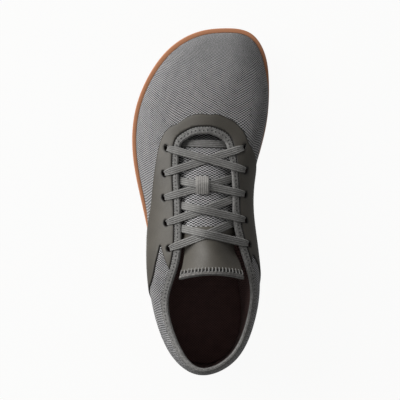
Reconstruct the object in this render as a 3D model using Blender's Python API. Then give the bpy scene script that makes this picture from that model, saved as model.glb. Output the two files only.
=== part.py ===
"""Barefoot shoe for the left foot: a knitted upper in a thin cup sole of gum rubber.

The shoe stands on its sole, toe towards +Y and inner side towards +X, in metres.
The sole's edge and the topline of the upper are two closed lines through the stations of
one table. Between them runs the wall, as a ring of ribs, and every other piece takes its
place from that wall: the cup of the sole outside it, the insole inside it, the overlay,
the binding and the eyelets on it, and the tongue and the lace across its throat.
"""
import math
from collections import namedtuple

import bpy
import bmesh
import numpy as np
from mathutils import Matrix, Vector
from mathutils.bvhtree import BVHTree
from mathutils.geometry import delaunay_2d_cdt

# Driving sizes of the last
SOLE_LENGTH = 0.2785
BALL_WIDTH = 0.109
COLLAR_HEIGHT = 0.072

# Walls and clearances
GAP = 0.0003
WALL = 0.0020

# Sole
SOLE_BODY = 0.0045
TREAD_DEPTH = 0.0012
CUP_DEPTH = 0.0065
RIM_WIDTH = 0.0022
RIM_ROUND = 0.0006
TOE_SPRING = 0.0055
SPRING_START = 0.74
SOLE_ROUNDING = 0.0050

# Side of the sole under the rim's edge: how far in, as a share of the rounding, and how
# high, as a share of the footbed's height
SOLE_SIDE = [(0.00, 0.88), (0.18, 0.60), (0.48, 0.34)]

# Tread blocks, laid in rows of tapered blocks that point up and down in turn
BLOCK_PITCH = 0.0119
BLOCK_ROW = 0.0098
BLOCK_GROOVE = 0.0012
BLOCK_TIP = 0.0016
BLOCK_SLANT = math.radians(4.5)
SMALLEST_BLOCK = 0.000022
PLATE_LENGTH = 0.0660
PLATE_WIDTH = 0.0240
PLATE_ALONG = 0.474
PLATE_ACROSS = -0.033
PLATE_SLANT = math.radians(9.0)

# Insole
INSOLE_THICKNESS = 0.0035
INSOLE_CLEARANCE = 0.0005

# Collar binding and overlay
BINDING_WIDTH = 0.0060
BINDING_PROUD = 0.0007
BINDING_INSIDE = 0.0026
BINDING_ROUND = 0.0012
OVERLAY_THICKNESS = 0.0009
OVERLAY_LIFT = 0.0008
OVERLAY_NARROWEST = 0.0010

# Tongue
TONGUE_THICKNESS = 0.0030
TONGUE_BINDING_WIDTH = 0.0050
TONGUE_BINDING_PROUD = 0.0006
TONGUE_BOW = 0.0035

# Eyelets and lace
EYELET_DIAMETER = 0.0046
EYELET_SIDES = 8
EYELET_PUNCH = 0.0080
LACE_WIDTH = 0.0060
LACE_THICKNESS = 0.0012
LACE_OVERLAP = 0.0001
LACE_CLEARANCE = 0.0004
LACE_START = 0.0012
LACE_STEPS = 10
BAR_FORWARD = 0.0095
KEEPER_WIDTH = 0.0106
KEEPER_LENGTH = 0.0138
KEEPER_THICKNESS = 0.0010
KEEPER_CLEARANCE = 0.0009
KEEPER_ACROSS = -0.0025
KEEPER_ALONG = -0.0009

# How finely the ring of ribs is cut
COLUMNS = 60
ROWS = 8
ROW_CROWDING = 1.15
ROW_MARGIN = 0.15
RIB_STEPS = 80

# Stations of the wall, clockwise from the back of the heel as seen from above.
# edge: the sole's outer edge. top: the topline of the upper. Along the shoe as shares of the
# sole length from the heel, across as shares of the ball width, towards the inner side.
# The rib between them leaves the footbed outwards by lean over rise, and reaches the
# topline from reach (a share of the way out to the edge) plus swell, and drop below it.
# lean and swell are shares of the ball width; height, rise and drop of the collar height.
Station = namedtuple("Station", "name edge_along edge_across top_along top_across height"
                                " lean rise reach swell drop")
STATIONS = [
    Station("heel_back",       0.000, 0.014, 0.0266, 0.012, 1.000, .028, .28, .00, .095, .305),
    Station("heel_outer_back", 0.035, -.194, 0.045, -.124, 0.958, .028, .28, .20, .095, .290),
    Station("heel_outer",      0.120, -.309, 0.110, -.217, 0.847, .064, .28, .30, .115, .280),
    Station("ankle_outer",     0.240, -.353, 0.214, -.2665, 0.764, .110, .39, .30, .156, .140),
    Station("waist_outer",     0.370, -.388, 0.322, -.195, 0.889, .120, .38, .45, .190, .195),
    Station("instep_outer",    0.500, -.455, 0.444, -.176, 0.854, .037, .31, .50, .037, .110),
    Station("ball_outer",      0.630, -.516, 0.559, -.190, 0.757, .018, .25, .50, .000, .125),
    Station("little_toe",      0.760, -.4995, 0.645, -.182, 0.680, .009, .22, .50, .000, .110),
    Station("outer_toe",       0.870, -.388, 0.670, -.138, 0.667, .005, .21, .50, .000, .110),
    Station("toe_slope",       0.955, -.204, 0.682, -.087, 0.674, .005, .235, .50, .000, .110),
    Station("toe_front",       0.993, 0.000, 0.6865, -.037, 0.685, .005, .28, .50, .000, .097),
    Station("toe_tip",         1.000, 0.158, 0.687, 0.009, 0.689, .005, .305, .48, .000, .083),
    Station("big_toe_front",   0.985, 0.365, 0.685, 0.055, 0.686, .009, .335, .50, .000, .083),
    Station("big_toe_corner",  0.940, 0.455, 0.678, 0.101, 0.680, .014, .35, .52, .000, .083),
    Station("big_toe_side",    0.850, 0.4995, 0.662, 0.151, 0.674, .083, .375, .60, .073, .110),
    Station("ball_inner",      0.730, 0.485, 0.616, 0.182, 0.708, .083, .36, .60, .064, .110),
    Station("instep_inner",    0.580, 0.386, 0.523, 0.202, 0.792, .092, .36, .55, .073, .140),
    Station("arch",            0.430, 0.300, 0.415, 0.216, 0.882, .183, .39, .40, .187, .167),
    Station("ankle_inner",     0.290, 0.322, 0.293, 0.308, 0.903, .156, .39, .30, .160, .167),
    Station("heel_inner",      0.140, 0.346, 0.178, 0.321, 0.806, .073, .335, .20, .094, .195),
    Station("heel_inner_back", 0.035, 0.225, 0.068, 0.198, 0.917, .037, .305, .20, .085, .280),
]

# Overlay round the throat, by station number: its lower line, the upper line of the strap
# and the lower line of the facing, as shares of the rib from the footbed to the topline.
# Between the last two lies a notch where the knit shows, closed where they are equal.
OverlayRow = namedtuple("OverlayRow", "station low strap facing")
OVERLAY = [
    OverlayRow(2.40, 0.00, 0.12, 1.00),
    OverlayRow(2.70, 0.00, 0.36, 1.00),
    OverlayRow(3.00, 0.06, 0.54, 1.00),
    OverlayRow(3.35, 0.16, 0.70, 1.00),
    OverlayRow(3.65, 0.24, 0.72, 1.00),
    OverlayRow(3.85, 0.28, 0.71, 0.89),
    OverlayRow(4.30, 0.34, 0.73, 0.73),
    OverlayRow(5.00, 0.47, 0.80, 0.80),
    OverlayRow(6.00, 0.61, 0.80, 0.80),
    OverlayRow(7.00, 0.71, 0.84, 0.84),
    OverlayRow(8.00, 0.80, 0.88, 0.88),
    OverlayRow(11.0, 0.84, 0.90, 0.90),
    OverlayRow(13.0, 0.82, 0.90, 0.90),
    OverlayRow(14.0, 0.79, 0.88, 0.88),
    OverlayRow(15.0, 0.71, 0.84, 0.84),
    OverlayRow(15.5, 0.56, 0.80, 0.80),
    OverlayRow(16.0, 0.40, 0.78, 0.78),
    OverlayRow(17.0, 0.22, 0.80, 0.80),
    OverlayRow(17.6, 0.12, 0.86, 0.86),
    OverlayRow(18.1, 0.05, 0.68, 1.00),
    OverlayRow(18.7, 0.00, 0.36, 1.00),
    OverlayRow(19.1, 0.00, 0.12, 1.00),
]
OVERLAY_START = 2.40
OVERLAY_END = 19.1
OUTER_TIP = 3.70
OUTER_APEX = 4.30
INNER_APEX = 17.7
INNER_TIP = 17.7

# Sections of the tongue from its front, under the vamp, to its top edge.
# along is a share of the sole length, centre and half width of the ball width, crown (its
# height on the centre line) and sag (how far its edges lie lower) of the collar height.
TongueRow = namedtuple("TongueRow", "along centre half_width crown sag")
TONGUE = [
    TongueRow(0.730, 0.010, 0.150, 0.500, 0.05),
    TongueRow(0.690, 0.008, 0.210, 0.560, 0.08),
    TongueRow(0.650, 0.005, 0.255, 0.655, 0.13),
    TongueRow(0.600, 0.003, 0.280, 0.750, 0.19),
    TongueRow(0.520, 0.000, 0.275, 0.860, 0.24),
    TongueRow(0.440, 0.003, 0.250, 0.975, 0.27),
    TongueRow(0.400, 0.008, 0.210, 1.040, 0.30),
    TongueRow(0.365, 0.028, 0.186, 1.100, 0.28),
    TongueRow(0.335, 0.038, 0.206, 1.160, 0.22),
    TongueRow(0.310, 0.036, 0.224, 1.215, 0.16),
    TongueRow(0.296, 0.034, 0.236, 1.245, 0.14),
]
TONGUE_LENGTHWAYS = 15
TONGUE_ACROSS = 12
TONGUE_PATCH_ROW = 8
TONGUE_FREE = 0.385
LID_REACH = 0.42
LID_MARGIN = 0.0034

# Eyelets of each side from the toe end to the ankle: station number, and how far down the
# rib from the topline, as a share of the collar height
Eyelet = namedtuple("Eyelet", "station below")
OUTER_EYELETS = [Eyelet(6.65, 0.178), Eyelet(5.92, 0.211), Eyelet(5.32, 0.232),
                 Eyelet(4.80, 0.200), Eyelet(4.30, 0.138)]
INNER_EYELETS = [Eyelet(14.99, 0.206), Eyelet(15.65, 0.205), Eyelet(16.20, 0.179),
                 Eyelet(16.78, 0.156), Eyelet(17.34, 0.124)]

# The smooth pads of the tread: their inner border lines, across as shares of the ball
# width and along as shares of the sole length
TOE_PAD = [(0.460, 0.952), (0.190, 0.942), (0.025, 0.905), (-0.170, 0.862), (-0.480, 0.838)]
HEEL_PAD = [(0.400, 0.131), (0.240, 0.124), (0.128, 0.106), (0.037, 0.095), (-0.073, 0.069),
            (-0.190, 0.040)]

# Outline of the arch plate, clockwise from its front tip: along and across as shares of half
# its length and half its width
PLATE = [(1.00, 0.00), (0.93, 0.16), (0.57, 0.65), (0.25, 1.04), (0.17, 1.02), (0.08, 0.82),
         (-0.03, 0.68), (-0.18, 0.60), (-0.36, 0.54), (-0.70, 0.46), (-0.88, 0.34),
         (-0.98, 0.12), (-1.00, -0.08), (-0.90, -0.32), (-0.74, -0.62), (-0.40, -0.84),
         (0.00, -0.92), (0.40, -0.80), (0.78, -0.44), (0.94, -0.18)]

Finish = namedtuple("Finish", "colour roughness")
GUM = Finish((0.58, 0.13, 0.035, 1.0), 0.62)
KNIT = Finish((0.20, 0.19, 0.185, 1.0), 0.92)
SMOOTH = Finish((0.085, 0.080, 0.066, 1.0), 0.55)
TAPE = Finish((0.27, 0.26, 0.25, 1.0), 0.88)
LINING = Finish((0.020, 0.013, 0.012, 1.0), 0.95)
LACE = Finish((0.17, 0.165, 0.155, 1.0), 0.85)


def closed_spline(points):
    """Return the knots of a smooth closed line through table rows, and the line itself."""
    rows = np.array(points)
    count = len(rows)
    steps = np.linalg.norm(np.roll(rows[:, :2], -1, axis=0) - rows[:, :2], axis=1)
    knots = np.concatenate(([0.0], np.cumsum(steps)))
    system = np.zeros((count, count))
    right = np.zeros_like(rows)
    for i in range(count):
        before, after = (i - 1) % count, (i + 1) % count
        system[i, before] = steps[before]
        system[i, i] = 2 * (steps[before] + steps[i])
        system[i, after] = steps[i]
        right[i] = 6 * ((rows[after] - rows[i]) / steps[i]
                        - (rows[i] - rows[before]) / steps[before])
    bend = np.linalg.solve(system, right)

    def line(u):
        distance = (u % 1.0) * knots[-1]
        i = min(int(np.searchsorted(knots, distance, side="right")) - 1, count - 1)
        j = (i + 1) % count
        step = steps[i]
        t = (distance - knots[i]) / step
        s = 1 - t
        return (s * rows[i] + t * rows[j]
                + ((s ** 3 - s) * bend[i] + (t ** 3 - t) * bend[j]) * step * step / 6)

    return knots / knots[-1], line


def along(share):
    """Place along the shoe: the sole is centred on Y = 0."""
    return (share - 0.5) * SOLE_LENGTH


def spring(y):
    """Lift of the sole at y, from the toe spring."""
    share = y / SOLE_LENGTH + 0.5
    lift = max(0.0, (share - SPRING_START) / (1 - SPRING_START))
    return TOE_SPRING * lift * lift


def station_sizes(station):
    """One row of the station table in metres, except reach."""
    return (station.edge_across * BALL_WIDTH, along(station.edge_along),
            station.top_across * BALL_WIDTH, along(station.top_along),
            station.height * COLLAR_HEIGHT,
            station.lean * BALL_WIDTH, station.rise * COLLAR_HEIGHT, station.reach,
            station.swell * BALL_WIDTH, station.drop * COLLAR_HEIGHT)


KNOTS, STATION_LINE = closed_spline([station_sizes(station) for station in STATIONS])


def column_at(station):
    """Column of the ring, with a fraction, at a station number with a fraction."""
    i = int(station)
    return COLUMNS * (KNOTS[i] + (KNOTS[i + 1] - KNOTS[i]) * (station - i))


def edge_point(column, inwards, z):
    """Point of the sole's edge at a column, moved inwards across the edge, at height z."""
    u = column / COLUMNS
    x, y = STATION_LINE(u)[:2]
    step = STATION_LINE(u + 0.0005)[:2] - STATION_LINE(u - 0.0005)[:2]
    outward = Vector((-step[1], step[0])).normalized()
    return Vector((x - outward.x * inwards, y - outward.y * inwards, z))


def rib_points(column):
    """Fine points up the outer face of the wall at a column, from footbed to topline."""
    row = STATION_LINE(column / COLUMNS)
    top = Vector(row[2:5])
    lean, rise, reach, swell, drop = row[5:]
    on_edge = edge_point(column, 0.0, 0.0)
    outward = on_edge - edge_point(column, 1.0, 0.0)
    flare = lean / rise * CUP_DEPTH
    foot = on_edge - outward * (RIM_WIDTH + GAP + flare)
    foot.z = TREAD_DEPTH + SOLE_BODY + GAP + spring(foot.y)
    knee = foot + outward * lean + Vector((0, 0, rise))
    to_foot = foot - top
    shoulder = top + Vector((to_foot.x, to_foot.y, 0)) * reach + outward * swell
    shoulder.z = top.z - drop
    points = []
    for i in range(RIB_STEPS + 1):
        t = i / RIB_STEPS
        s = 1 - t
        points.append(foot * s ** 3 + knee * 3 * s * s * t + shoulder * 3 * s * t * t
                      + top * t ** 3)
    return points


def polyline_at(points, distances, distance):
    """Point of a polyline at a distance along it."""
    i = int(np.searchsorted(distances, distance)) - 1
    i = min(max(i, 0), len(points) - 2)
    span = distances[i + 1] - distances[i]
    return points[i].lerp(points[i + 1], (distance - distances[i]) / span)


class Sheet:
    """A curved sheet of columns and rows, read between its points as on flat facets."""

    def __init__(self, columns, shares, closed, turned=False):
        self.columns = columns
        self.shares = shares
        self.closed = closed
        count = len(columns)
        self.normals = []
        for c, points in enumerate(columns):
            before = columns[(c - 1) % count] if closed else columns[max(c - 1, 0)]
            after = columns[(c + 1) % count] if closed else columns[min(c + 1, count - 1)]
            normals = []
            for r in range(len(points)):
                up = points[min(r + 1, len(points) - 1)] - points[max(r - 1, 0)]
                round_about = after[r] - before[r]
                normal = up.cross(round_about).normalized()
                normals.append(-normal if turned else normal)
            self.normals.append(normals)

    def on_column(self, column, share):
        """Point and normal at a share of one whole column."""
        shares = self.shares[column]
        r = int(np.searchsorted(shares, share)) - 1
        r = min(max(r, 0), len(shares) - 2)
        t = (share - shares[r]) / (shares[r + 1] - shares[r])
        points, normals = self.columns[column], self.normals[column]
        return points[r].lerp(points[r + 1], t), normals[r].lerp(normals[r + 1], t)

    def point(self, column, share, offset=0.0):
        """Point at a column with a fraction and a share, moved off the face by offset."""
        count = len(self.columns)
        if self.closed:
            first = math.floor(column)
            a, b = first % count, (first + 1) % count
        else:
            first = min(max(math.floor(column), 0), count - 2)
            a, b = first, first + 1
        t = column - first
        point_a, normal_a = self.on_column(a, share)
        if t < 1e-9:
            return point_a + normal_a.normalized() * offset
        point_b, normal_b = self.on_column(b, share)
        normal = normal_a.lerp(normal_b, t).normalized()
        return point_a.lerp(point_b, t) + normal * offset


def build_wall():
    """The outer face of the upper as a closed sheet, and each column's key shares."""
    columns, shares, rims, ends, lengths = [], [], [], [], []
    for column in range(COLUMNS):
        points = rib_points(column)
        steps = [(b - a).length for a, b in zip(points, points[1:])]
        distances = np.concatenate(([0.0], np.cumsum(steps)))
        length = distances[-1]
        rim_height = points[0].z - GAP + CUP_DEPTH
        i = next(k for k, point in enumerate(points) if point.z > rim_height)
        part = (rim_height - points[i - 1].z) / (points[i].z - points[i - 1].z)
        rim = distances[i - 1] + part * (distances[i] - distances[i - 1])
        end = length - BINDING_WIDTH
        rows = [0.0, rim]
        rows += [rim + (end - rim) * (k / ROWS) ** ROW_CROWDING for k in range(1, ROWS + 1)]
        rows.append(length)
        columns.append([polyline_at(points, distances, row) for row in rows])
        shares.append([row / length for row in rows])
        rims.append(rim / length)
        ends.append(end / length)
        lengths.append(length)
    return Sheet(columns, shares, closed=True), rims, ends, lengths


WALL_SHEET, RIM_SHARES, END_SHARES, RIB_LENGTHS = build_wall()


def ring_value(values, column):
    """Value round the ring at a column with a fraction."""
    first = math.floor(column)
    a, b = values[first % COLUMNS], values[(first + 1) % COLUMNS]
    return a + (b - a) * (column - first)


def material(name, finish):
    """Material of one finish."""
    made = bpy.data.materials.get(name) or bpy.data.materials.new(name)
    made.use_nodes = True
    shader = made.node_tree.nodes["Principled BSDF"]
    shader.inputs["Base Color"].default_value = finish.colour
    shader.inputs["Roughness"].default_value = finish.roughness
    shader.inputs["Metallic"].default_value = 0.0
    made.diffuse_color = finish.colour
    return made


def new_object(name, points, faces, finish, parent):
    """Object from points and faces, its faces turned outwards and its round parts smooth."""
    mesh = bpy.data.meshes.new(name)
    mesh.from_pydata([tuple(point) for point in points], [], faces)
    work = bmesh.new()
    work.from_mesh(mesh)
    bmesh.ops.remove_doubles(work, verts=work.verts, dist=1e-7)
    bmesh.ops.recalc_face_normals(work, faces=work.faces)
    work.to_mesh(mesh)
    work.free()
    mesh.shade_smooth()
    mesh.set_sharp_from_angle(angle=math.radians(40))
    mesh.materials.append(material(name + "_finish", finish))
    made = bpy.data.objects.new(name, mesh)
    bpy.context.scene.collection.objects.link(made)
    made.parent = parent
    return made


def thick_shell(outer, inner, cells):
    """Points and faces of a closed body between two like sheets of points.

    cells are the faces of the outer sheet, by point number. An edge that only one cell
    has gets a side face.
    """
    count = len(outer)
    faces = [tuple(cell) for cell in cells]
    faces += [tuple(i + count for i in reversed(cell)) for cell in cells]
    edges = {(a, b) for cell in cells for a, b in zip(cell, cell[1:] + cell[:1])}
    for a, b in sorted(edges):
        if (b, a) not in edges:
            faces.append((b, a, a + count, b + count))
    return list(outer) + list(inner), faces


def swept_body(sections, closed):
    """Points and faces of a body through like sections, as a ring or with flat ends."""
    count, size = len(sections), len(sections[0])
    points = [point for section in sections for point in section]
    faces = []
    for c in range(count if closed else count - 1):
        d = (c + 1) % count
        for r in range(size):
            s = (r + 1) % size
            faces.append((c * size + r, c * size + s, d * size + r))
            faces.append((c * size + s, d * size + s, d * size + r))
    if not closed:
        faces.append(tuple(range(size)))
        faces.append(tuple(range(count * size - 1, (count - 1) * size - 1, -1)))
    return points, faces


def make_upper(parent):
    """The knitted wall: outer face up to the binding, and its inner face back down."""
    sections = []
    for c in range(COLUMNS):
        shares = WALL_SHEET.shares[c][:-1]
        outer = [WALL_SHEET.point(c, share) for share in shares]
        inner = [WALL_SHEET.point(c, share, -WALL) for share in shares]
        sections.append(outer + inner[::-1])
    return new_object("upper", *swept_body(sections, closed=True), KNIT, parent)


def make_binding(parent):
    """The tape round the throat and the collar, from the wall's end over the topline."""
    profile = [(GAP, 0.5 * BINDING_PROUD), (BINDING_ROUND, BINDING_PROUD),
               (BINDING_WIDTH - BINDING_ROUND, BINDING_PROUD),
               (BINDING_WIDTH - BINDING_ROUND / 6, 0.0),
               (BINDING_WIDTH, -BINDING_INSIDE / 2),
               (BINDING_WIDTH - BINDING_ROUND / 3, BINDING_ROUND / 3 - BINDING_INSIDE),
               (BINDING_WIDTH - BINDING_ROUND, -BINDING_INSIDE), (GAP, -BINDING_INSIDE)]
    sections = []
    for c in range(COLUMNS):
        end, length = END_SHARES[c], RIB_LENGTHS[c]
        sections.append([WALL_SHEET.point(c, end + up / length, offset)
                         for up, offset in profile])
    return new_object("collar_binding", *swept_body(sections, closed=True), TAPE, parent)


def overlay_lines(station):
    """Lower line, strap line and facing line of the overlay at a station number."""
    stations = [row.station for row in OVERLAY]
    low = np.interp(station, stations, [row.low for row in OVERLAY])
    strap = np.interp(station, stations, [row.strap for row in OVERLAY])
    facing = np.interp(station, stations, [row.facing for row in OVERLAY])
    column = column_at(station)
    length = ring_value(RIB_LENGTHS, column)
    skirt = OVERLAY_LIFT + OVERLAY_THICKNESS + GAP
    floor = ring_value(RIM_SHARES, column) + skirt / length
    ceiling = ring_value(END_SHARES, column) - GAP / length
    least = OVERLAY_NARROWEST / length
    low = max(low, floor)
    strap = max(strap, low + least)
    facing = min(facing, ceiling - least)
    return low, strap, facing, ceiling


def wall_rows(column, low, high):
    """Rows of the overlay at a column: low, the wall's own rows between, and high.

    Each is a share of the rib and the wall's row number, with a fraction, at that share.
    """
    numbers = range(len(WALL_SHEET.shares[0]))
    shares = [ring_value([rows[n] for rows in WALL_SHEET.shares], column) for n in numbers]
    start, end = np.interp(low, shares, numbers), np.interp(high, shares, numbers)
    rows = [(low, start)]
    rows += [(shares[n], float(n)) for n in numbers
             if start + ROW_MARGIN < n < end - ROW_MARGIN]
    return rows + [(high, end)]


def lace_up(left, right, numbers):
    """Triangles between two columns of point numbers, each paired with its row number."""
    i, j, cells = 0, 0, []
    while i < len(left) - 1 or j < len(right) - 1:
        if j == len(right) - 1 or (i < len(left) - 1
                                   and numbers[left[i + 1]] <= numbers[right[j + 1]]):
            cells.append((left[i], left[i + 1], right[j]))
            i += 1
        else:
            cells.append((left[i], right[j + 1], right[j]))
            j += 1
    return cells


def make_overlay(parent):
    """The smooth panel round the throat, with its straps down to the sole at the heel."""
    first_column, tip_out, apex_out, apex_in, tip_in, last_column = (
        round(column_at(mark)) for mark in (OVERLAY_START, OUTER_TIP, OUTER_APEX, INNER_APEX,
                                            INNER_TIP, OVERLAY_END))
    outer, inner, numbers, straps, facings = [], [], [], [], []
    for column in range(first_column, last_column + 1):
        low, strap, facing, ceiling = overlay_lines(
            float(np.interp(column / COLUMNS, KNOTS, range(len(KNOTS)))))
        joined = apex_out <= column <= apex_in
        if joined:
            facing = strap
        rows = wall_rows(column, low, strap)
        first = len(outer)
        straps.append(list(range(first, first + len(rows))))
        facings.append([])
        if tip_out <= column <= tip_in:
            more = wall_rows(column, facing, ceiling)
            if joined:
                facings[-1] = list(range(first + len(rows) - 1,
                                         first + len(rows) + len(more) - 1))
                more = more[1:]
            else:
                facings[-1] = list(range(first + len(rows), first + len(rows) + len(more)))
            rows += more
        for share, number in rows:
            outer.append(WALL_SHEET.point(column, share, OVERLAY_LIFT + OVERLAY_THICKNESS))
            inner.append(WALL_SHEET.point(column, share, OVERLAY_LIFT))
            numbers.append(number)
    cells = []
    for grid in (straps, facings):
        for left, right in zip(grid, grid[1:]):
            if left and right:
                cells += lace_up(left, right, numbers)
    return new_object("eyestay", *thick_shell(outer, inner, cells), SMOOTH, parent)


def eyelet(place, offset):
    """Point over an eyelet's middle, at an offset from the wall."""
    column = column_at(place.station)
    below = place.below * COLLAR_HEIGHT / ring_value(RIB_LENGTHS, column)
    return WALL_SHEET.point(column, 1 - below, offset)


def punch_eyelets(pieces, parent):
    """Cut the eyelets through the overlay and the wall."""
    cutter = bpy.data.meshes.new("eyelet_punch")
    work = bmesh.new()
    radius = EYELET_DIAMETER / 2
    for place in OUTER_EYELETS + INNER_EYELETS:
        middle = eyelet(place, 0.0)
        axis = eyelet(place, 1.0) - middle
        turn = axis.to_track_quat("Z", "Y").to_matrix().to_4x4()
        bmesh.ops.create_cone(work, cap_ends=True, segments=EYELET_SIDES, radius1=radius,
                              radius2=radius, depth=EYELET_PUNCH,
                              matrix=Matrix.Translation(middle) @ turn)
    work.to_mesh(cutter)
    work.free()
    punch = bpy.data.objects.new("eyelet_punch", cutter)
    bpy.context.scene.collection.objects.link(punch)
    punch.parent = parent
    punch.hide_render = True
    punch.display_type = "WIRE"
    for piece in pieces:
        cut = piece.modifiers.new("eyelets", "BOOLEAN")
        cut.operation = "DIFFERENCE"
        cut.solver = "EXACT"
        cut.object = punch


def clip(polygon, point, normal):
    """The part of a convex polygon on the side of a line that its normal points away from."""
    kept = []
    for a, b in zip(polygon, polygon[1:] + polygon[:1]):
        side_a, side_b = (a - point).dot(normal), (b - point).dot(normal)
        if side_a <= 0:
            kept.append(a)
        if (side_a < 0 < side_b) or (side_b < 0 < side_a):
            kept.append(a.lerp(b, side_a / (side_a - side_b)))
    return kept


def area(polygon):
    """Area of a closed outline, positive where it runs counter-clockwise."""
    return sum(a.x * b.y - b.x * a.y for a, b in zip(polygon, polygon[1:] + polygon[:1])) / 2


def counter_clockwise(polygon):
    """The same outline, turned to run counter-clockwise."""
    return polygon if area(polygon) > 0 else polygon[::-1]


def tread_fences(edge):
    """Lines that cut the tread blocks, each as its two ends and its outward normal."""
    fences = []
    for a, b in zip(edge, edge[1:] + edge[:1]):
        step = b - a
        fences.append((a, b, Vector((-step.y, step.x)).normalized()))
    for line, side in ((TOE_PAD, 1), (HEEL_PAD, -1)):
        points = [Vector((across * BALL_WIDTH, along(share))) for across, share in line]
        for a, b in zip(points, points[1:]):
            step = b - a
            outward = Vector((-step.y, step.x)).normalized()
            fences.append((a, b, outward if outward.y * side > 0 else -outward))
    return fences


def pad_line(line, x):
    """Place along the shoe of a pad's border line at x."""
    rows = sorted((across * BALL_WIDTH, along(share)) for across, share in line)
    return float(np.interp(x, [row[0] for row in rows], [row[1] for row in rows]))


def in_polygon(point, polygon):
    """Whether a point lies inside a closed outline."""
    inside = False
    for a, b in zip(polygon, polygon[1:] + polygon[:1]):
        if (a.y > point.y) != (b.y > point.y):
            if point.x < a.x + (point.y - a.y) / (b.y - a.y) * (b.x - a.x):
                inside = not inside
    return inside


def plate_outline():
    """The plain arch plate: a fin with pointed ends and a corner on its inner side."""
    middle = Vector((PLATE_ACROSS * BALL_WIDTH, along(PLATE_ALONG)))
    lengthways = Vector((-math.sin(PLATE_SLANT), math.cos(PLATE_SLANT)))
    sideways = Vector((lengthways.y, -lengthways.x))
    return [middle + lengthways * share * PLATE_LENGTH / 2 + sideways * across * PLATE_WIDTH / 2
            for share, across in PLATE]


def near_segment(point, a, b):
    """Distance from a point to the stretch of line between a and b."""
    step = b - a
    t = max(0.0, min(1.0, (point - a).dot(step) / step.length_squared))
    return (point - a - step * t).length


def pad_outline(edge, line, side):
    """Outline of a smooth pad: the drawn-in edge of the sole beyond the pad's border line."""
    def beyond(point):
        return (point.y - pad_line(line, point.x)) * side

    first = next(i for i, point in enumerate(edge) if beyond(point) <= 0)
    ring = edge[first:] + edge[:first]
    outline, ends = [], []
    for a, b in zip(ring, ring[1:] + ring[:1]):
        if beyond(a) > 0:
            outline.append(a)
        if (beyond(a) > 0) != (beyond(b) > 0):
            ends.append(a.lerp(b, beyond(a) / (beyond(a) - beyond(b))))
            outline.append(ends[-1])
    enter, leave = ends
    low, high = min(enter.x, leave.x), max(enter.x, leave.x)
    border = [Vector((across * BALL_WIDTH, along(share))) for across, share in line]
    border = sorted((point for point in border if low < point.x < high),
                    key=lambda point: point.x * (enter.x - leave.x))
    return outline + border


def tread_blocks(edge):
    """Flat outlines of the tread: rows of tapered blocks, cut at the fences, and the pads."""
    fences = tread_fences(edge)
    plate = plate_outline()
    plate_lines = list(zip(plate, plate[1:] + plate[:1]))
    forward = Vector((-math.sin(BLOCK_SLANT), math.cos(BLOCK_SLANT)))
    sideways = Vector((forward.y, -forward.x))
    tall = BLOCK_ROW - BLOCK_GROOVE
    wide = BLOCK_PITCH - BLOCK_TIP - 2 * BLOCK_GROOVE
    rows = int(SOLE_LENGTH / BLOCK_ROW / 2) + 2
    places = int(BALL_WIDTH / BLOCK_PITCH) + 3

    def in_field(point):
        """Whether a point lies between the pads and off the plate."""
        return (in_polygon(point, edge) and not in_polygon(point, plate)
                and pad_line(HEEL_PAD, point.x) < point.y < pad_line(TOE_PAD, point.x))

    blocks = []
    for row in range(-rows, rows + 1):
        for place in range(-places, places + 1):
            up = 1 if place % 2 else -1
            middle = forward * row * BLOCK_ROW + sideways * place * BLOCK_PITCH / 2
            block = [middle + sideways * side * wide / 2 + forward * end * tall / 2 * up
                     for side, end in ((-1, -1), (1, -1), (0, 1))]
            for a, b, outward in fences:
                if near_segment(middle, a, b) < BLOCK_ROW and block:
                    block = clip(block, a - outward * BLOCK_GROOVE, outward)
            a, b = min(plate_lines, key=lambda line: near_segment(middle, *line))
            if near_segment(middle, a, b) < BLOCK_ROW and block:
                step = b - a
                outward = Vector((-step.y, step.x)).normalized()
                block = clip(block, a + outward * BLOCK_GROOVE, -outward)
            if (len(block) > 2 and abs(area(block)) > SMALLEST_BLOCK
                    and all(in_field(point) for point in block)
                    and not any(in_polygon(point, block) for point in plate)):
                blocks.append(block)
    inner = [edge_point(c, SOLE_ROUNDING + BLOCK_GROOVE, 0.0).xy for c in range(COLUMNS)]
    pads = [pad_outline(inner, TOE_PAD, 1), pad_outline(inner, HEEL_PAD, -1)]
    return [counter_clockwise(block) for block in blocks + [plate] + pads]


def fill_ring(flat):
    """Triangles that fill a clockwise ring of flat points, one for each column."""
    filled = delaunay_2d_cdt(flat, [], [list(range(COLUMNS))[::-1]], 1, 1e-7)
    return [tuple(face) for face in filled[2]]


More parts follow.
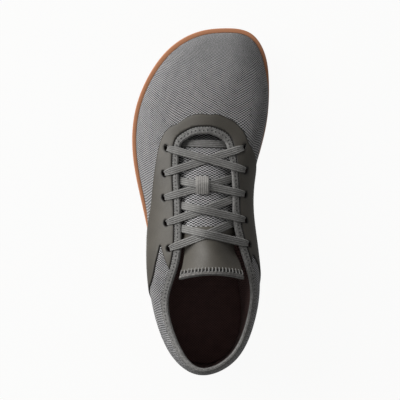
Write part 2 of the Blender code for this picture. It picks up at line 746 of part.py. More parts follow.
def make_outsole(parent):
    """The cup sole: footbed, rim round the wall, rounded side and tread blocks below."""
    footbed = TREAD_DEPTH + SOLE_BODY
    rings = [[] for _ in range(8)]
    for c in range(COLUMNS):
        foot = WALL_SHEET.columns[c][0]
        rim = WALL_SHEET.columns[c][1]
        outward = edge_point(c, 0.0, 0.0) - edge_point(c, 1.0, 0.0)
        rings[0].append(Vector((foot.x, foot.y, 0)) + outward * GAP
                        + Vector((0, 0, footbed + spring(foot.y))))
        rings[1].append(rim + outward * GAP)
        lift = spring(edge_point(c, 0.0, 0.0).y)
        side = [(RIM_ROUND, rim.z), (0.0, rim.z - RIM_ROUND)]
        side += [(inwards * SOLE_ROUNDING, height * footbed + lift)
                 for inwards, height in SOLE_SIDE]
        side.append((SOLE_ROUNDING, TREAD_DEPTH + lift))
        for ring, (inwards, z) in zip(rings[2:], side):
            ring.append(edge_point(c, inwards, z))
    points = [point for ring in rings for point in ring]
    faces = []
    for r in range(len(rings) - 1):
        for c in range(COLUMNS):
            d = (c + 1) % COLUMNS
            a, b = r * COLUMNS, (r + 1) * COLUMNS
            faces.append((a + c, a + d, b + c))
            faces.append((a + d, b + d, b + c))

    faces += fill_ring([Vector((p.x, p.y)) for p in rings[0]])

    edge = [Vector((p.x, p.y)) for p in rings[-1]]
    blocks = tread_blocks(edge)
    flat = list(edge)
    outlines = [list(range(COLUMNS))[::-1]]
    for block in blocks:
        outlines.append(list(range(len(flat), len(flat) + len(block))))
        flat += block
    found, _, made_faces, origins, _, face_origins = delaunay_2d_cdt(flat, [], outlines, 1, 1e-7)
    raised = {}
    number_of = {}
    for i, place in enumerate(found):
        if origins[i] and min(origins[i]) < COLUMNS:
            number_of[i] = (len(rings) - 1) * COLUMNS + min(origins[i])
        else:
            number_of[i] = len(points)
            points.append(Vector((place.x, place.y, TREAD_DEPTH + spring(place.y))))

    def ground_point(i, block):
        """Number of the point under a found point, on the ground side of a block."""
        if (i, block) not in raised:
            raised[(i, block)] = len(points)
            points.append(Vector((found[i].x, found[i].y, spring(found[i].y))))
        return raised[(i, block)]

    owner = {}
    for face, sources in zip(made_faces, face_origins):
        block = max(sources)
        if block == 0:
            faces.append(tuple(number_of[i] for i in face))
            continue
        faces.append(tuple(ground_point(i, block) for i in face))
        for a, b in zip(face, list(face[1:]) + [face[0]]):
            owner[(a, b)] = block
    for (a, b), block in owner.items():
        if owner.get((b, a)) != block:
            faces.append((number_of[a], number_of[b], ground_point(b, block),
                          ground_point(a, block)))
    return new_object("outsole", points, faces, GUM, parent)


def make_insole(parent):
    """The flat insole, laid on the footbed inside the wall, whose slope its side follows."""
    base = TREAD_DEPTH + SOLE_BODY + GAP
    rings = []
    for height in (INSOLE_THICKNESS, 0.0):
        ring = []
        for c in range(COLUMNS):
            share = RIM_SHARES[c] * height / CUP_DEPTH
            point = WALL_SHEET.point(c, share)
            normal = WALL_SHEET.point(c, share, 1.0) - point
            point -= Vector((normal.x, normal.y, 0)) * (
                (WALL + INSOLE_CLEARANCE) / (normal.x ** 2 + normal.y ** 2))
            ring.append(Vector((point.x, point.y, base + spring(point.y) + height)))
        rings.append(ring)
    cells = fill_ring([Vector((p.x, p.y)) for p in rings[1]])
    return new_object("insole", *thick_shell(*rings, cells), LINING, parent)


def tree_of(piece):
    """Search tree of a piece's faces as modelled."""
    mesh = piece.data
    return BVHTree.FromPolygons([v.co for v in mesh.vertices],
                                [tuple(p.vertices) for p in mesh.polygons])


def surface_above(trees, x, y, z):
    """Lowest surface above a point, or None."""
    hits = [tree.ray_cast(Vector((x, y, z)), Vector((0, 0, 1)))[0] for tree in trees]
    heights = [hit.z for hit in hits if hit]
    return min(heights) if heights else None


def surface_below(trees, x, y, top):
    """Highest surface under a point at height top, or None."""
    hits = [tree.ray_cast(Vector((x, y, top)), Vector((0, 0, -1)))[0] for tree in trees]
    heights = [hit.z for hit in hits if hit]
    return max(heights) if heights else None


def smooth_table(rows, share):
    """Row of a table at a share of its length, on a smooth open curve."""
    table = np.array(rows)
    place = share * (len(table) - 1)
    i = min(int(place), len(table) - 2)
    t = place - i
    p0, p1 = table[max(i - 1, 0)], table[i]
    p2, p3 = table[i + 1], table[min(i + 2, len(table) - 1)]
    return (p1 + 0.5 * t * (p2 - p0 + t * (2 * p0 - 5 * p1 + 4 * p2 - p3
                                           + t * (3 * (p1 - p2) + p3 - p0))))


def build_tongue_sheet(trees):
    """The tongue's upper face: its own arch, pressed down where the facings cover it."""
    columns, shares = [], []
    clearance = 4 * GAP + OVERLAY_THICKNESS
    for i in range(TONGUE_LENGTHWAYS + 1):
        share, centre, half, crown, sag = smooth_table(TONGUE, i / TONGUE_LENGTHWAYS)
        under = (crown - LID_REACH) * COLLAR_HEIGHT
        row = []
        for j in range(TONGUE_ACROSS + 1):
            side = 2 * j / TONGUE_ACROSS - 1
            x = (centre + half * side) * BALL_WIDTH
            y = along(share) - TONGUE_BOW * side * side * i / TONGUE_LENGTHWAYS
            z = (crown - sag * side * side) * COLLAR_HEIGHT
            lids = [surface_above(trees, x + aside, y + ahead, under)
                    for aside in (-LID_MARGIN, 0.0, LID_MARGIN)
                    for ahead in (-LID_MARGIN, 0.0, LID_MARGIN)]
            lids = [lid for lid in lids if lid is not None]
            if lids and share > TONGUE_FREE:
                z = min([z] + [lid - clearance for lid in lids])
            row.append(Vector((x, y, z)))
        columns.append(row)
        shares.append([j / TONGUE_ACROSS for j in range(TONGUE_ACROSS + 1)])
    return Sheet(columns, shares, closed=False, turned=True)


def sheet_piece(name, sheet, columns, top, bottom, finish, parent):
    """Closed body on a sheet between two offsets, over some of its columns."""
    outer, inner, cells = [], [], []
    shares = sheet.shares[0]
    size = len(shares)
    for column in columns:
        for share in shares:
            outer.append(sheet.point(column, share, top))
            inner.append(sheet.point(column, share, bottom))
    for c in range(len(columns) - 1):
        for r in range(size - 1):
            a = c * size + r
            cells.append((a, a + 1, a + size + 1))
            cells.append((a, a + size + 1, a + size))
    return new_object(name, *thick_shell(outer, inner, cells), finish, parent)


def make_tongue(sheet, parent):
    """The tongue with its patch and the bound top edge."""
    last = len(sheet.columns) - 1
    pitch = (sheet.columns[last][TONGUE_ACROSS // 2]
             - sheet.columns[last - 1][TONGUE_ACROSS // 2]).length
    end = last - TONGUE_BINDING_WIDTH / pitch
    edge = end - GAP / pitch
    body = [float(c) for c in range(last + 1) if c < edge - ROW_MARGIN] + [edge]
    tongue = sheet_piece("tongue", sheet, body, 0.0, -TONGUE_THICKNESS, KNIT, parent)
    tongue_patch = sheet_piece("tongue_patch", sheet, body[TONGUE_PATCH_ROW:],
                               GAP + OVERLAY_THICKNESS, GAP, SMOOTH, parent)
    hem = [end, (end + last) / 2, last]
    binding = sheet_piece("tongue_binding", sheet, hem, TONGUE_BINDING_PROUD,
                          -TONGUE_THICKNESS - TONGUE_BINDING_PROUD, TAPE, parent)
    return tongue, tongue_patch, binding


def taut(points):
    """Heights of a line pulled straight over its supports, seen from the side."""
    distances = [0.0]
    for a, b in zip(points, points[1:]):
        distances.append(distances[-1] + math.hypot(b.x - a.x, b.y - a.y))
    hull = []
    for place in zip(distances, [p.z for p in points]):
        while len(hull) > 1:
            (x1, z1), (x2, z2) = hull[-2:]
            if (z2 - z1) * (place[0] - x1) <= (place[1] - z1) * (x2 - x1):
                hull.pop()
            else:
                break
        hull.append(place)
    heights = np.interp(distances, [p[0] for p in hull], [p[1] for p in hull])
    return [Vector((p.x, p.y, z)) for p, z in zip(points, heights)]


def strip_sections(start, end, width, thickness, trees, clearance):
    """Sections of a flat strip pulled from start to end over what lies under it."""
    steps = LACE_STEPS
    run = Vector((end.x - start.x, end.y - start.y, 0))
    forward = run.normalized()
    sideways = Vector((-forward.y, forward.x, 0))
    top = 2 * COLLAR_HEIGHT
    path = []
    for i in range(steps + 1):
        point = start.lerp(end, i / steps)
        heights = []
        for ahead in (-0.6, -0.3, 0, 0.3, 0.6):
            for side in (-1.1, -0.55, 0, 0.55, 1.1):
                spot = point + run * ahead / steps + sideways * side * width / 2
                heights.append(surface_below(trees, spot.x, spot.y, top))
        heights = [height for height in heights if height is not None]
        path.append(Vector((point.x, point.y, max(heights) + clearance + thickness / 2)))
    path = taut(path)
    sections = []
    for i, point in enumerate(path):
        ahead, behind = path[min(i + 1, steps)], path[max(i - 1, 0)]
        up = (ahead - behind).cross(-sideways).normalized()
        if up.z < 0:
            up = -up
        sections.append([point + sideways * a * width / 2 + up * b * thickness / 2
                         for a, b in ((-1, -1), (1, -1), (1, 1), (-1, 1))])
    return sections


def throat_edge(place):
    """Point just inside the throat's edge at an eyelet's station."""
    column = column_at(place.station)
    top = WALL_SHEET.point(column, 1.0)
    under = WALL_SHEET.point(column, 1 - BINDING_WIDTH / ring_value(RIB_LENGTHS, column))
    step = Vector((top.x - under.x, top.y - under.y, 0)).normalized()
    return top + step * LACE_START


def union(piece, other):
    """Fuse another piece into a piece and remove the other."""
    join = piece.modifiers.new("join", "BOOLEAN")
    join.operation = "UNION"
    join.solver = "EXACT"
    join.object = other
    bpy.context.view_layer.update()
    result = bpy.data.meshes.new_from_object(
        piece.evaluated_get(bpy.context.evaluated_depsgraph_get()))
    piece.modifiers.remove(join)
    piece.data = result
    bpy.data.objects.remove(other)


def make_lace(trees, parent):
    """The bar ahead of the first pair of eyelets and the four crossings, rear one first."""
    first = throat_edge(OUTER_EYELETS[0])
    second = throat_edge(INNER_EYELETS[0])
    forward = Vector((0, BAR_FORWARD, 0))
    sections = strip_sections(first + forward, second + forward, LACE_WIDTH, LACE_THICKNESS,
                              trees, LACE_CLEARANCE)
    bar = new_object("lace_bar", *swept_body(sections, closed=False), LACE, parent)
    trees = trees + [tree_of(bar)]
    for row in range(len(OUTER_EYELETS) - 2, -1, -1):
        strips = []
        over = list(trees)
        for starts, ends in ((INNER_EYELETS, OUTER_EYELETS), (OUTER_EYELETS, INNER_EYELETS)):
            start = eyelet(starts[row], 0.0) if row == 0 else throat_edge(starts[row])
            end = eyelet(ends[row + 1], 0.0)
            sections = strip_sections(start, end, LACE_WIDTH, LACE_THICKNESS, over,
                                      LACE_CLEARANCE)
            name = "lace_cross_%d" % (row + 1) + ("_top" if strips else "")
            strip = new_object(name, *swept_body(sections, closed=False), LACE, parent)
            strips.append(strip)
            over = over + [lowered(tree_source=strip, drop=LACE_CLEARANCE + LACE_OVERLAP)]
        union(strips[0], strips[1])
        trees = trees + [tree_of(strips[0])]
    return trees


def lowered(tree_source, drop):
    """Search tree of a piece's faces, set lower by drop."""
    mesh = tree_source.data
    return BVHTree.FromPolygons([v.co - Vector((0, 0, drop)) for v in mesh.vertices],
                                [tuple(p.vertices) for p in mesh.polygons])


def make_keeper(trees, parent):
    """The webbing loop that holds the second crossing down on the tongue."""
    corners = [eyelet(places[i], 0.0) for places in (OUTER_EYELETS, INNER_EYELETS)
               for i in (1, 2)]
    middle = sum(corners, Vector((KEEPER_ACROSS, KEEPER_ALONG, 0)) * len(corners)) / len(corners)
    reach = Vector((0, KEEPER_LENGTH / 2, 0))
    sections = strip_sections(middle + reach, middle - reach, KEEPER_WIDTH, KEEPER_THICKNESS,
                              trees, KEEPER_CLEARANCE)
    return new_object("lace_keeper", *swept_body(sections, closed=False), TAPE, parent)


def main():
    """Clear the scene, make every piece and stand the shoe over the origin."""
    for old in list(bpy.data.objects):
        bpy.data.objects.remove(old)
    shoe = bpy.data.objects.new("shoe", None)
    bpy.context.scene.collection.objects.link(shoe)

    upper = make_upper(shoe)
    binding = make_binding(shoe)
    overlay = make_overlay(shoe)
    make_outsole(shoe)
    make_insole(shoe)

    sheet = build_tongue_sheet([tree_of(upper), tree_of(binding)])
    tongue_pieces = make_tongue(sheet, shoe)
    carriers = [tree_of(piece) for piece in (upper, binding, overlay) + tongue_pieces]
    trees = make_lace(carriers, shoe)
    make_keeper(trees, shoe)
    punch_eyelets([upper, overlay], shoe)

    bpy.context.view_layer.update()
    corners = [made.matrix_world @ v.co for made in bpy.data.objects
               if made.type == "MESH" and not made.hide_render for v in made.data.vertices]
    low = [min(p[i] for p in corners) for i in range(3)]
    high = [max(p[i] for p in corners) for i in range(3)]
    shoe.location = (-(low[0] + high[0]) / 2, -(low[1] + high[1]) / 2, -low[2])


main()
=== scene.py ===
"""Looks of the barefoot shoe: knit, tape, smooth overlay, lace and gum sole round the CAD frame.

The wall of the upper is the same surface as in the CAD source, read here much more finely,
and every piece takes its place from it. Lengths are in metres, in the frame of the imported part.
"""
import math

import bmesh
import bpy
import numpy as np
from bpy.props import FloatProperty, FloatVectorProperty, PointerProperty
from mathutils import Matrix, Vector
from mathutils.bvhtree import BVHTree
from mathutils.geometry import delaunay_2d_cdt
from mathutils.kdtree import KDTree


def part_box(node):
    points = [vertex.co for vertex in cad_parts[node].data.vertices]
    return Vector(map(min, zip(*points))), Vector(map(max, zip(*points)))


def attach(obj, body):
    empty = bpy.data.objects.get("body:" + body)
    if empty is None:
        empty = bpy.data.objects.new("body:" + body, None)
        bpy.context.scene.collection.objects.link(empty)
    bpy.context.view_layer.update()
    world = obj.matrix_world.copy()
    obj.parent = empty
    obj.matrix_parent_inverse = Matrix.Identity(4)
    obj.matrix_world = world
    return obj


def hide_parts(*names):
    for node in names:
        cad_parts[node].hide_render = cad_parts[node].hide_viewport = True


bl_info = {
    "name": "Barefoot Shoe Looks",
    "version": (1, 0, 0),
    "blender": (4, 5, 0),
    "location": "View3D > Sidebar > Shoe",
    "description": "Dresses the packed barefoot shoe in knit, tape, lace and gum rubber",
    "category": "Object",
}

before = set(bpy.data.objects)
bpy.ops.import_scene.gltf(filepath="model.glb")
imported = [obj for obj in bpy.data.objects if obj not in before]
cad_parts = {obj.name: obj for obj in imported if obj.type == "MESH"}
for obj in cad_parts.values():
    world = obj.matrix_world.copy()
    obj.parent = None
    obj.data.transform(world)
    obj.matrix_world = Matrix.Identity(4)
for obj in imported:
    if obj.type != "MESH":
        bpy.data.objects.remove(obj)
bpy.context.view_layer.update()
BODY = "root"

# Sizes of the last and the sole, as in the CAD source
SOLE_LENGTH = 0.2785
BALL_WIDTH = 0.109
COLLAR_HEIGHT = 0.072
GAP = 0.0003
WALL = 0.0020
SOLE_BODY = 0.0045
TREAD_DEPTH = 0.0012
CUP_DEPTH = 0.0065
RIM_WIDTH = 0.0022
RIM_ROUND = 0.0006
TOE_SPRING = 0.0055
SPRING_START = 0.74
SOLE_ROUNDING = 0.0050
RIM_LIP = [(0.0, 0.0005), (0.0002, 0.0001), (0.0005, 0.0)]
SOLE_WAIST = 0.0007
SIDE_HOLLOW = 0.0003
FOOTBED = TREAD_DEPTH + SOLE_BODY
CAD_COLUMNS = 60

# Tread
BLOCK_PITCH = 0.0119
BLOCK_ROW = 0.0098
BLOCK_GROOVE = 0.0012
BLOCK_TIP = 0.0022
BLOCK_SLANT = math.radians(4.5)
PLATE_LENGTH = 0.0660
PLATE_WIDTH = 0.0240
PLATE_ALONG = 0.474
PLATE_ACROSS = -0.033
PLATE_SLANT = math.radians(9.0)
SMALLEST_BLOCK = 0.000009
SHORTEST_SIDE = 0.0004
# Rings of a block's soft edge: how far in, height, and share of painted shade
BLOCK_EDGE = [(0.00012, 0.00030, 0.25), (0.00030, 0.0, 0.0)]
HOLLOW_INSET = 0.0016
HOLLOW_DEPTH = 0.0007
SMALLEST_HOLLOW = 0.000003
PAD_GROOVE = BLOCK_GROOVE * 0.7
WAVE_LENGTH = 0.012
FEWEST_POINTS = 6

# Upper
INSOLE_THICKNESS = 0.0035
INSOLE_CLEARANCE = 0.0005
KNIT_THICKNESS = 0.0012
LINING_START = 0.00125
KNIT_END = 0.85
BINDING_WIDTH = 0.0060
BINDING_PROUD = 0.0008
BINDING_INSIDE = 0.0026
TAPE_ROUND = 0.0014
OVERLAY_THICKNESS = 0.0011
OVERLAY_SUNK = 0.0001
OVERLAY_STEP = 0.0011
OVERLAY_SPACING = 0.0022
OVERLAY_EDGE = 0.0013
NOTCH_LEAST = 0.012
TONGUE_THICKNESS = 0.0030
TONGUE_CLEARANCE = 0.0016
TONGUE_BINDING_WIDTH = 0.0050
PATCH_PROUD = 0.0008
ROLL_PROUD = 0.0006
TONGUE_BOW = 0.0035
TONGUE_PATCH_FRONT = 0.533
EYELET_DIAMETER = 0.0046
PUNCH_DEPTH = 0.008
PUNCH_ROOM = 0.0003

# Threads
TUBE_SIDES = 6
STITCH_PITCH = 0.0018
STITCH_BELOW = 0.0012
STITCH_SWING = 0.0009
STITCH_RADIUS = 0.00022
STITCH_SHARE = 0.62
STITCH_ROWS = 7
OVERLOCK_COUNT = 19
OVERLOCK_ROWS = 9
OVERLOCK_RADIUS = 0.00032

# Lace and keeper
LACE_WIDTH = 0.0062
LACE_THICKNESS = 0.0011
LACE_BANK = 0.6
LACE_CLEARANCE = 0.00022
LACE_HIDDEN = 0.0045
LACE_UNDER = 0.0035
HOLE_ROOM = 0.0002
DIVE_STEPS = 9
DIVE_STEP = 0.0007
DIVE_NARROWING = 0.38
DIVE_CURL = 0.0007
BAR_FORWARD = 0.0095
BAR_UNDER = 0.003
KEEPER_WIDTH = 0.0106
KEEPER_LENGTH = 0.0138
KEEPER_THICKNESS = 0.0011
KEEPER_ACROSS = -0.0025
KEEPER_ALONG = -0.0009
KEEPER_CLEARANCE = 0.0008

# Studio
KEY_PLACE = (-1.60, 1.10, 0.72)
KEY_WIDTH = 2.8
KEY_HEIGHT = 1.4
UNDER_PLACE = (0.0, 0.0, -1.3)
UNDER_WIDTH = 1.0
FLOOR_GAP = 0.0002
FLOOR_GLOW = 0.94
CAMERA_ACROSS = -0.064
CAMERA_HEIGHT = 1.25

# Wall clockwise from the heel: edge, topline, height, lean, rise, reach, swell and drop as shares
STATIONS = [
    (0.000, 0.014, 0.0266, 0.012, 1.000, .028, .28, .00, .095, .305),
    (0.035, -.194, 0.045, -.124, 0.958, .028, .28, .20, .095, .290),
    (0.120, -.309, 0.110, -.217, 0.847, .064, .28, .30, .115, .280),
    (0.240, -.353, 0.214, -.2665, 0.764, .110, .39, .30, .156, .140),
    (0.370, -.388, 0.322, -.195, 0.889, .120, .38, .45, .190, .195),
    (0.500, -.455, 0.444, -.176, 0.854, .037, .31, .50, .037, .110),
    (0.630, -.516, 0.559, -.190, 0.757, .018, .25, .50, .000, .125),
    (0.760, -.4995, 0.645, -.182, 0.680, .009, .22, .50, .000, .110),
    (0.870, -.388, 0.670, -.138, 0.667, .005, .21, .50, .000, .110),
    (0.955, -.204, 0.682, -.087, 0.674, .005, .235, .50, .000, .110),
    (0.993, 0.000, 0.6865, -.037, 0.685, .005, .28, .50, .000, .097),
    (1.000, 0.158, 0.687, 0.009, 0.689, .005, .305, .48, .000, .083),
    (0.985, 0.365, 0.685, 0.055, 0.686, .009, .335, .50, .000, .083),
    (0.940, 0.455, 0.678, 0.101, 0.680, .014, .35, .52, .000, .083),
    (0.850, 0.4995, 0.662, 0.151, 0.674, .083, .375, .60, .073, .110),
    (0.730, 0.485, 0.616, 0.182, 0.708, .083, .36, .60, .064, .110),
    (0.580, 0.386, 0.523, 0.202, 0.792, .092, .36, .55, .073, .140),
    (0.430, 0.300, 0.415, 0.216, 0.882, .183, .39, .40, .187, .167),
    (0.290, 0.322, 0.293, 0.308, 0.903, .156, .39, .30, .160, .167),
    (0.140, 0.346, 0.178, 0.321, 0.806, .073, .335, .20, .094, .195),
    (0.035, 0.225, 0.068, 0.198, 0.917, .037, .305, .20, .085, .280),
]

# The overlay's lower line, strap line and facing line by station number
OVERLAY = [
    (2.40, 0.00, 0.12, 1.00), (2.70, 0.00, 0.36, 1.00), (3.00, 0.06, 0.54, 1.00),
    (3.35, 0.16, 0.70, 1.00), (3.65, 0.24, 0.72, 1.00), (3.85, 0.28, 0.71, 0.89),
    (4.30, 0.34, 0.73, 0.73), (5.00, 0.47, 0.80, 0.80), (6.00, 0.61, 0.80, 0.80),
    (7.00, 0.71, 0.84, 0.84), (8.00, 0.80, 0.88, 0.88), (11.0, 0.84, 0.90, 0.90),
    (13.0, 0.82, 0.90, 0.90), (14.0, 0.79, 0.88, 0.88), (15.0, 0.71, 0.84, 0.84),
    (15.5, 0.56, 0.80, 0.80), (16.0, 0.40, 0.78, 0.78), (17.0, 0.22, 0.80, 0.80),
    (17.6, 0.12, 0.86, 0.86), (18.1, 0.05, 0.68, 1.00), (18.7, 0.00, 0.36, 1.00),
    (19.1, 0.00, 0.12, 1.00),
]
OVERLAY_START, OVERLAY_END = 2.40, 19.1
OUTER_APEX, INNER_APEX = 4.30, 17.6

# Sections of the tongue: along, centre, half width, crown and sag
TONGUE = [
    (0.730, 0.010, 0.150, 0.500, 0.05), (0.690, 0.008, 0.210, 0.560, 0.08),
    (0.650, 0.005, 0.255, 0.655, 0.13), (0.600, 0.003, 0.280, 0.750, 0.19),
    (0.520, 0.000, 0.275, 0.860, 0.24), (0.440, 0.003, 0.250, 0.975, 0.27),
    (0.400, 0.008, 0.210, 1.040, 0.30), (0.365, 0.028, 0.186, 1.100, 0.28),
    (0.335, 0.038, 0.206, 1.160, 0.22), (0.310, 0.036, 0.224, 1.215, 0.16),
    (0.296, 0.034, 0.236, 1.245, 0.14),
]
TONGUE_FREE = 0.385
LID_REACH = 0.42

# Eyelets from the toe end to the ankle: station, and how far below the topline as a share
OUTER_EYELETS = [(6.65, 0.178), (5.92, 0.211), (5.32, 0.232), (4.80, 0.200), (4.30, 0.138)]
INNER_EYELETS = [(14.99, 0.206), (15.65, 0.205), (16.20, 0.179), (16.78, 0.156), (17.34, 0.124)]

# Borders of the two smooth pads, across and along
TOE_PAD = [(0.460, 0.952), (0.190, 0.942), (0.025, 0.905), (-0.170, 0.862), (-0.480, 0.838)]
HEEL_PAD = [(0.400, 0.131), (0.240, 0.124), (0.128, 0.106), (0.037, 0.095), (-0.073, 0.069),
            (-0.190, 0.040)]
PADS = [(TOE_PAD, 1, 0.0062, 0.0007), (HEEL_PAD, -1, 0.0058, 0.0)]

# Arch plate clockwise from its front tip, as shares of half its length and half its width
PLATE = [(1.00, 0.00), (0.93, 0.16), (0.57, 0.65), (0.25, 1.04), (0.17, 1.02), (0.08, 0.82),
         (-0.03, 0.68), (-0.18, 0.60), (-0.36, 0.54), (-0.70, 0.46), (-0.88, 0.34),
         (-0.98, 0.12), (-1.00, -0.08), (-0.90, -0.32), (-0.74, -0.62), (-0.40, -0.84),
         (0.00, -0.92), (0.40, -0.80), (0.78, -0.44), (0.94, -0.18)]


def along(share):
    """Place along the shoe of a share of the sole length."""
    return (share - 0.5) * SOLE_LENGTH


def spring(y):
    """Lift of the sole at y, from the toe spring."""
    share = np.asarray(y) / SOLE_LENGTH + 0.5
    lift = np.maximum(0.0, (share - SPRING_START) / (1 - SPRING_START))
    return TOE_SPRING * lift * lift


def unit(vectors):
    """Vectors of an array at length one."""
    return vectors / np.linalg.norm(vectors, axis=-1, keepdims=True)


def quarter_turn(steps):
    """Steps of an array turned a quarter to the left, at length one."""
    return unit(np.stack((-steps[..., 1], steps[..., 0]), axis=-1))


def way_along(points):
    """Distance along a line to each of its points."""
    steps = np.linalg.norm(np.diff(points, axis=0), axis=1)
    return np.concatenate(([0.0], np.cumsum(steps)))


def closed_spline(rows):
    """Knots of a smooth closed line through rows, and the line as a function of an array."""
    count = len(rows)
    steps = np.linalg.norm(np.roll(rows[:, :2], -1, axis=0) - rows[:, :2], axis=1)
    knots = np.concatenate(([0.0], np.cumsum(steps)))
    system = np.zeros((count, count))
    right = np.zeros_like(rows)
    for i in range(count):
        before, after = (i - 1) % count, (i + 1) % count
        system[i, before] = steps[before]
        system[i, i] = 2 * (steps[before] + steps[i])
        system[i, after] = steps[i]
        right[i] = 6 * ((rows[after] - rows[i]) / steps[i]
                        - (rows[i] - rows[before]) / steps[before])
    bend = np.linalg.solve(system, right)

    def line(u):
        distance = (np.asarray(u, float) % 1.0) * knots[-1]
        i = np.clip(np.searchsorted(knots, distance, side="right") - 1, 0, count - 1)
        j = (i + 1) % count
        step = steps[i][..., None]
        t = (distance - knots[i])[..., None] / step
        s = 1 - t
        return (s * rows[i] + t * rows[j]
                + ((s ** 3 - s) * bend[i] + (t ** 3 - t) * bend[j]) * step * step / 6)

    return knots / knots[-1], line


def station_rows():
    """The station table in metres."""
    rows = []
    for edge_y, edge_x, top_y, top_x, height, lean, rise, reach, swell, drop in STATIONS:
        rows.append((edge_x * BALL_WIDTH, along(edge_y), top_x * BALL_WIDTH, along(top_y),
                     height * COLLAR_HEIGHT, lean * BALL_WIDTH, rise * COLLAR_HEIGHT, reach,
                     swell * BALL_WIDTH, drop * COLLAR_HEIGHT))
    return np.array(rows)


KNOTS, LINE = closed_spline(station_rows())


def ring_at(station):
    """Place round the ring, from 0 to 1, at a station number."""
    return np.interp(station, range(len(KNOTS)), KNOTS)


def edge_line(u):
    """Sole edge and its outward direction at places round the ring."""
    step = LINE(np.asarray(u) + 0.0005)[..., :2] - LINE(np.asarray(u) - 0.0005)[..., :2]
    return LINE(u)[..., :2], quarter_turn(step)


def frame_shift():
    """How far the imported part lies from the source's own zero."""
    edge = edge_line(np.arange(CAD_COLUMNS) / CAD_COLUMNS)[0]
    low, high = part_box("outsole")
    middle = (edge.min(0) + edge.max(0)) / 2
    return np.array([(low.x + high.x) / 2 - middle[0], (low.y + high.y) / 2 - middle[1], 0.0])


SHIFT = frame_shift()


def off_grid(points, normals, a, b, j, s, t, offset):
    """Points between rows a and b and places j and j + 1 of a grid, moved off its face."""
    def blend(grid):
        low = grid[a, j] * (1 - s) + grid[b, j] * s
        high = grid[a, j + 1] * (1 - s) + grid[b, j + 1] * s
        return low * (1 - t) + high * t

    return blend(points) + unit(blend(normals)) * offset[..., None]


class Skin:
    """The outer face of the upper: columns round the ring, rows up each rib."""

    def __init__(self, columns, rows):
        self.columns, self.rows = columns, rows
        u = np.arange(columns) / columns
        row = LINE(u)
        top = row[:, 2:5]
        lean, rise, reach, swell, drop = row[:, 5:].T[..., None]
        edge, outward = edge_line(u)
        out3 = np.concatenate((outward, np.zeros((columns, 1))), axis=1)
        foot2 = edge - outward * (RIM_WIDTH + GAP + lean / rise * CUP_DEPTH)
        foot = np.concatenate((foot2, FOOTBED + GAP + spring(foot2[:, 1:])), axis=1)
        knee = foot + out3 * lean + np.array([0, 0, 1.0]) * rise
        shoulder = top + (foot - top) * np.array([1, 1, 0]) * reach + out3 * swell
        shoulder[:, 2] = top[:, 2] - drop[:, 0]
        t = np.linspace(0, 1, 161)[None, :, None]
        s = 1 - t
        rib = (foot[:, None] * s ** 3 + knee[:, None] * 3 * s * s * t
               + shoulder[:, None] * 3 * s * t * t + top[:, None] * t ** 3)
        steps = np.linalg.norm(np.diff(rib, axis=1), axis=2)
        distance = np.concatenate((np.zeros((columns, 1)), np.cumsum(steps, axis=1)), axis=1)
        self.lengths = distance[:, -1]
        shares = np.linspace(0, 1, rows)
        self.points = np.empty((columns, rows, 3))
        self.rims = np.empty(columns)
        for c in range(columns):
            for axis in range(3):
                self.points[c, :, axis] = np.interp(shares * self.lengths[c], distance[c],
                                                    rib[c, :, axis])
            low = rib[c, :60, 2]
            self.rims[c] = np.interp(foot[c, 2] - GAP + CUP_DEPTH, low,
                                     distance[c, :60]) / self.lengths[c]
        self.points += SHIFT
        up = np.gradient(self.points, axis=1)
        about = np.roll(self.points, -1, axis=0) - np.roll(self.points, 1, axis=0)
        self.normals = unit(np.cross(up, about))

    def value(self, values, u):
        """A column's value at places round the ring."""
        place = (np.asarray(u) % 1.0) * self.columns
        i = np.floor(place).astype(int)
        t = place - i
        return values[i % self.columns] * (1 - t) + values[(i + 1) % self.columns] * t

    def at(self, u, share, offset=0.0):
        """Points at places round the ring and shares of the rib, moved off the face."""
        u, share, offset = np.broadcast_arrays(u, share, offset)
        place = (u % 1.0) * self.columns
        i = np.floor(place).astype(int)
        s = (place - i)[..., None]
        a, b = i % self.columns, (i + 1) % self.columns
        row = np.clip(share, 0, 1) * (self.rows - 1)
        j = np.minimum(np.floor(row).astype(int), self.rows - 2)
        t = (row - j)[..., None]
        return off_grid(self.points, self.normals, a, b, j, s, t, offset)


SKIN = Skin(720, 121)


def share_below(u, distance):
    """Share of the rib at a distance below the topline."""
    return 1 - distance / SKIN.value(SKIN.lengths, u)


def knit_map(points, normals):
    """Flat coordinates for a knit that runs lengthways and folds down over the sides."""
    drop = (COLLAR_HEIGHT - points[..., 2:3]) * 0.75
    flat = normals[..., :2] / np.maximum(np.linalg.norm(normals[..., :2], axis=-1,
                                                        keepdims=True), 1e-6)
    weight = np.clip(np.linalg.norm(normals[..., :2], axis=-1, keepdims=True) * 1.5, 0, 1)
    return points[..., :2] + flat * weight * drop


def tree_of(piece):
    """Search tree of a piece's mesh."""
    mesh = piece.data
    return BVHTree.FromPolygons([v.co for v in mesh.vertices],
                                [tuple(p.vertices) for p in mesh.polygons])


def new_object(name, data):
    """A new object in the scene."""
    made = bpy.data.objects.new(name, data)
    bpy.context.scene.collection.objects.link(made)
    return made


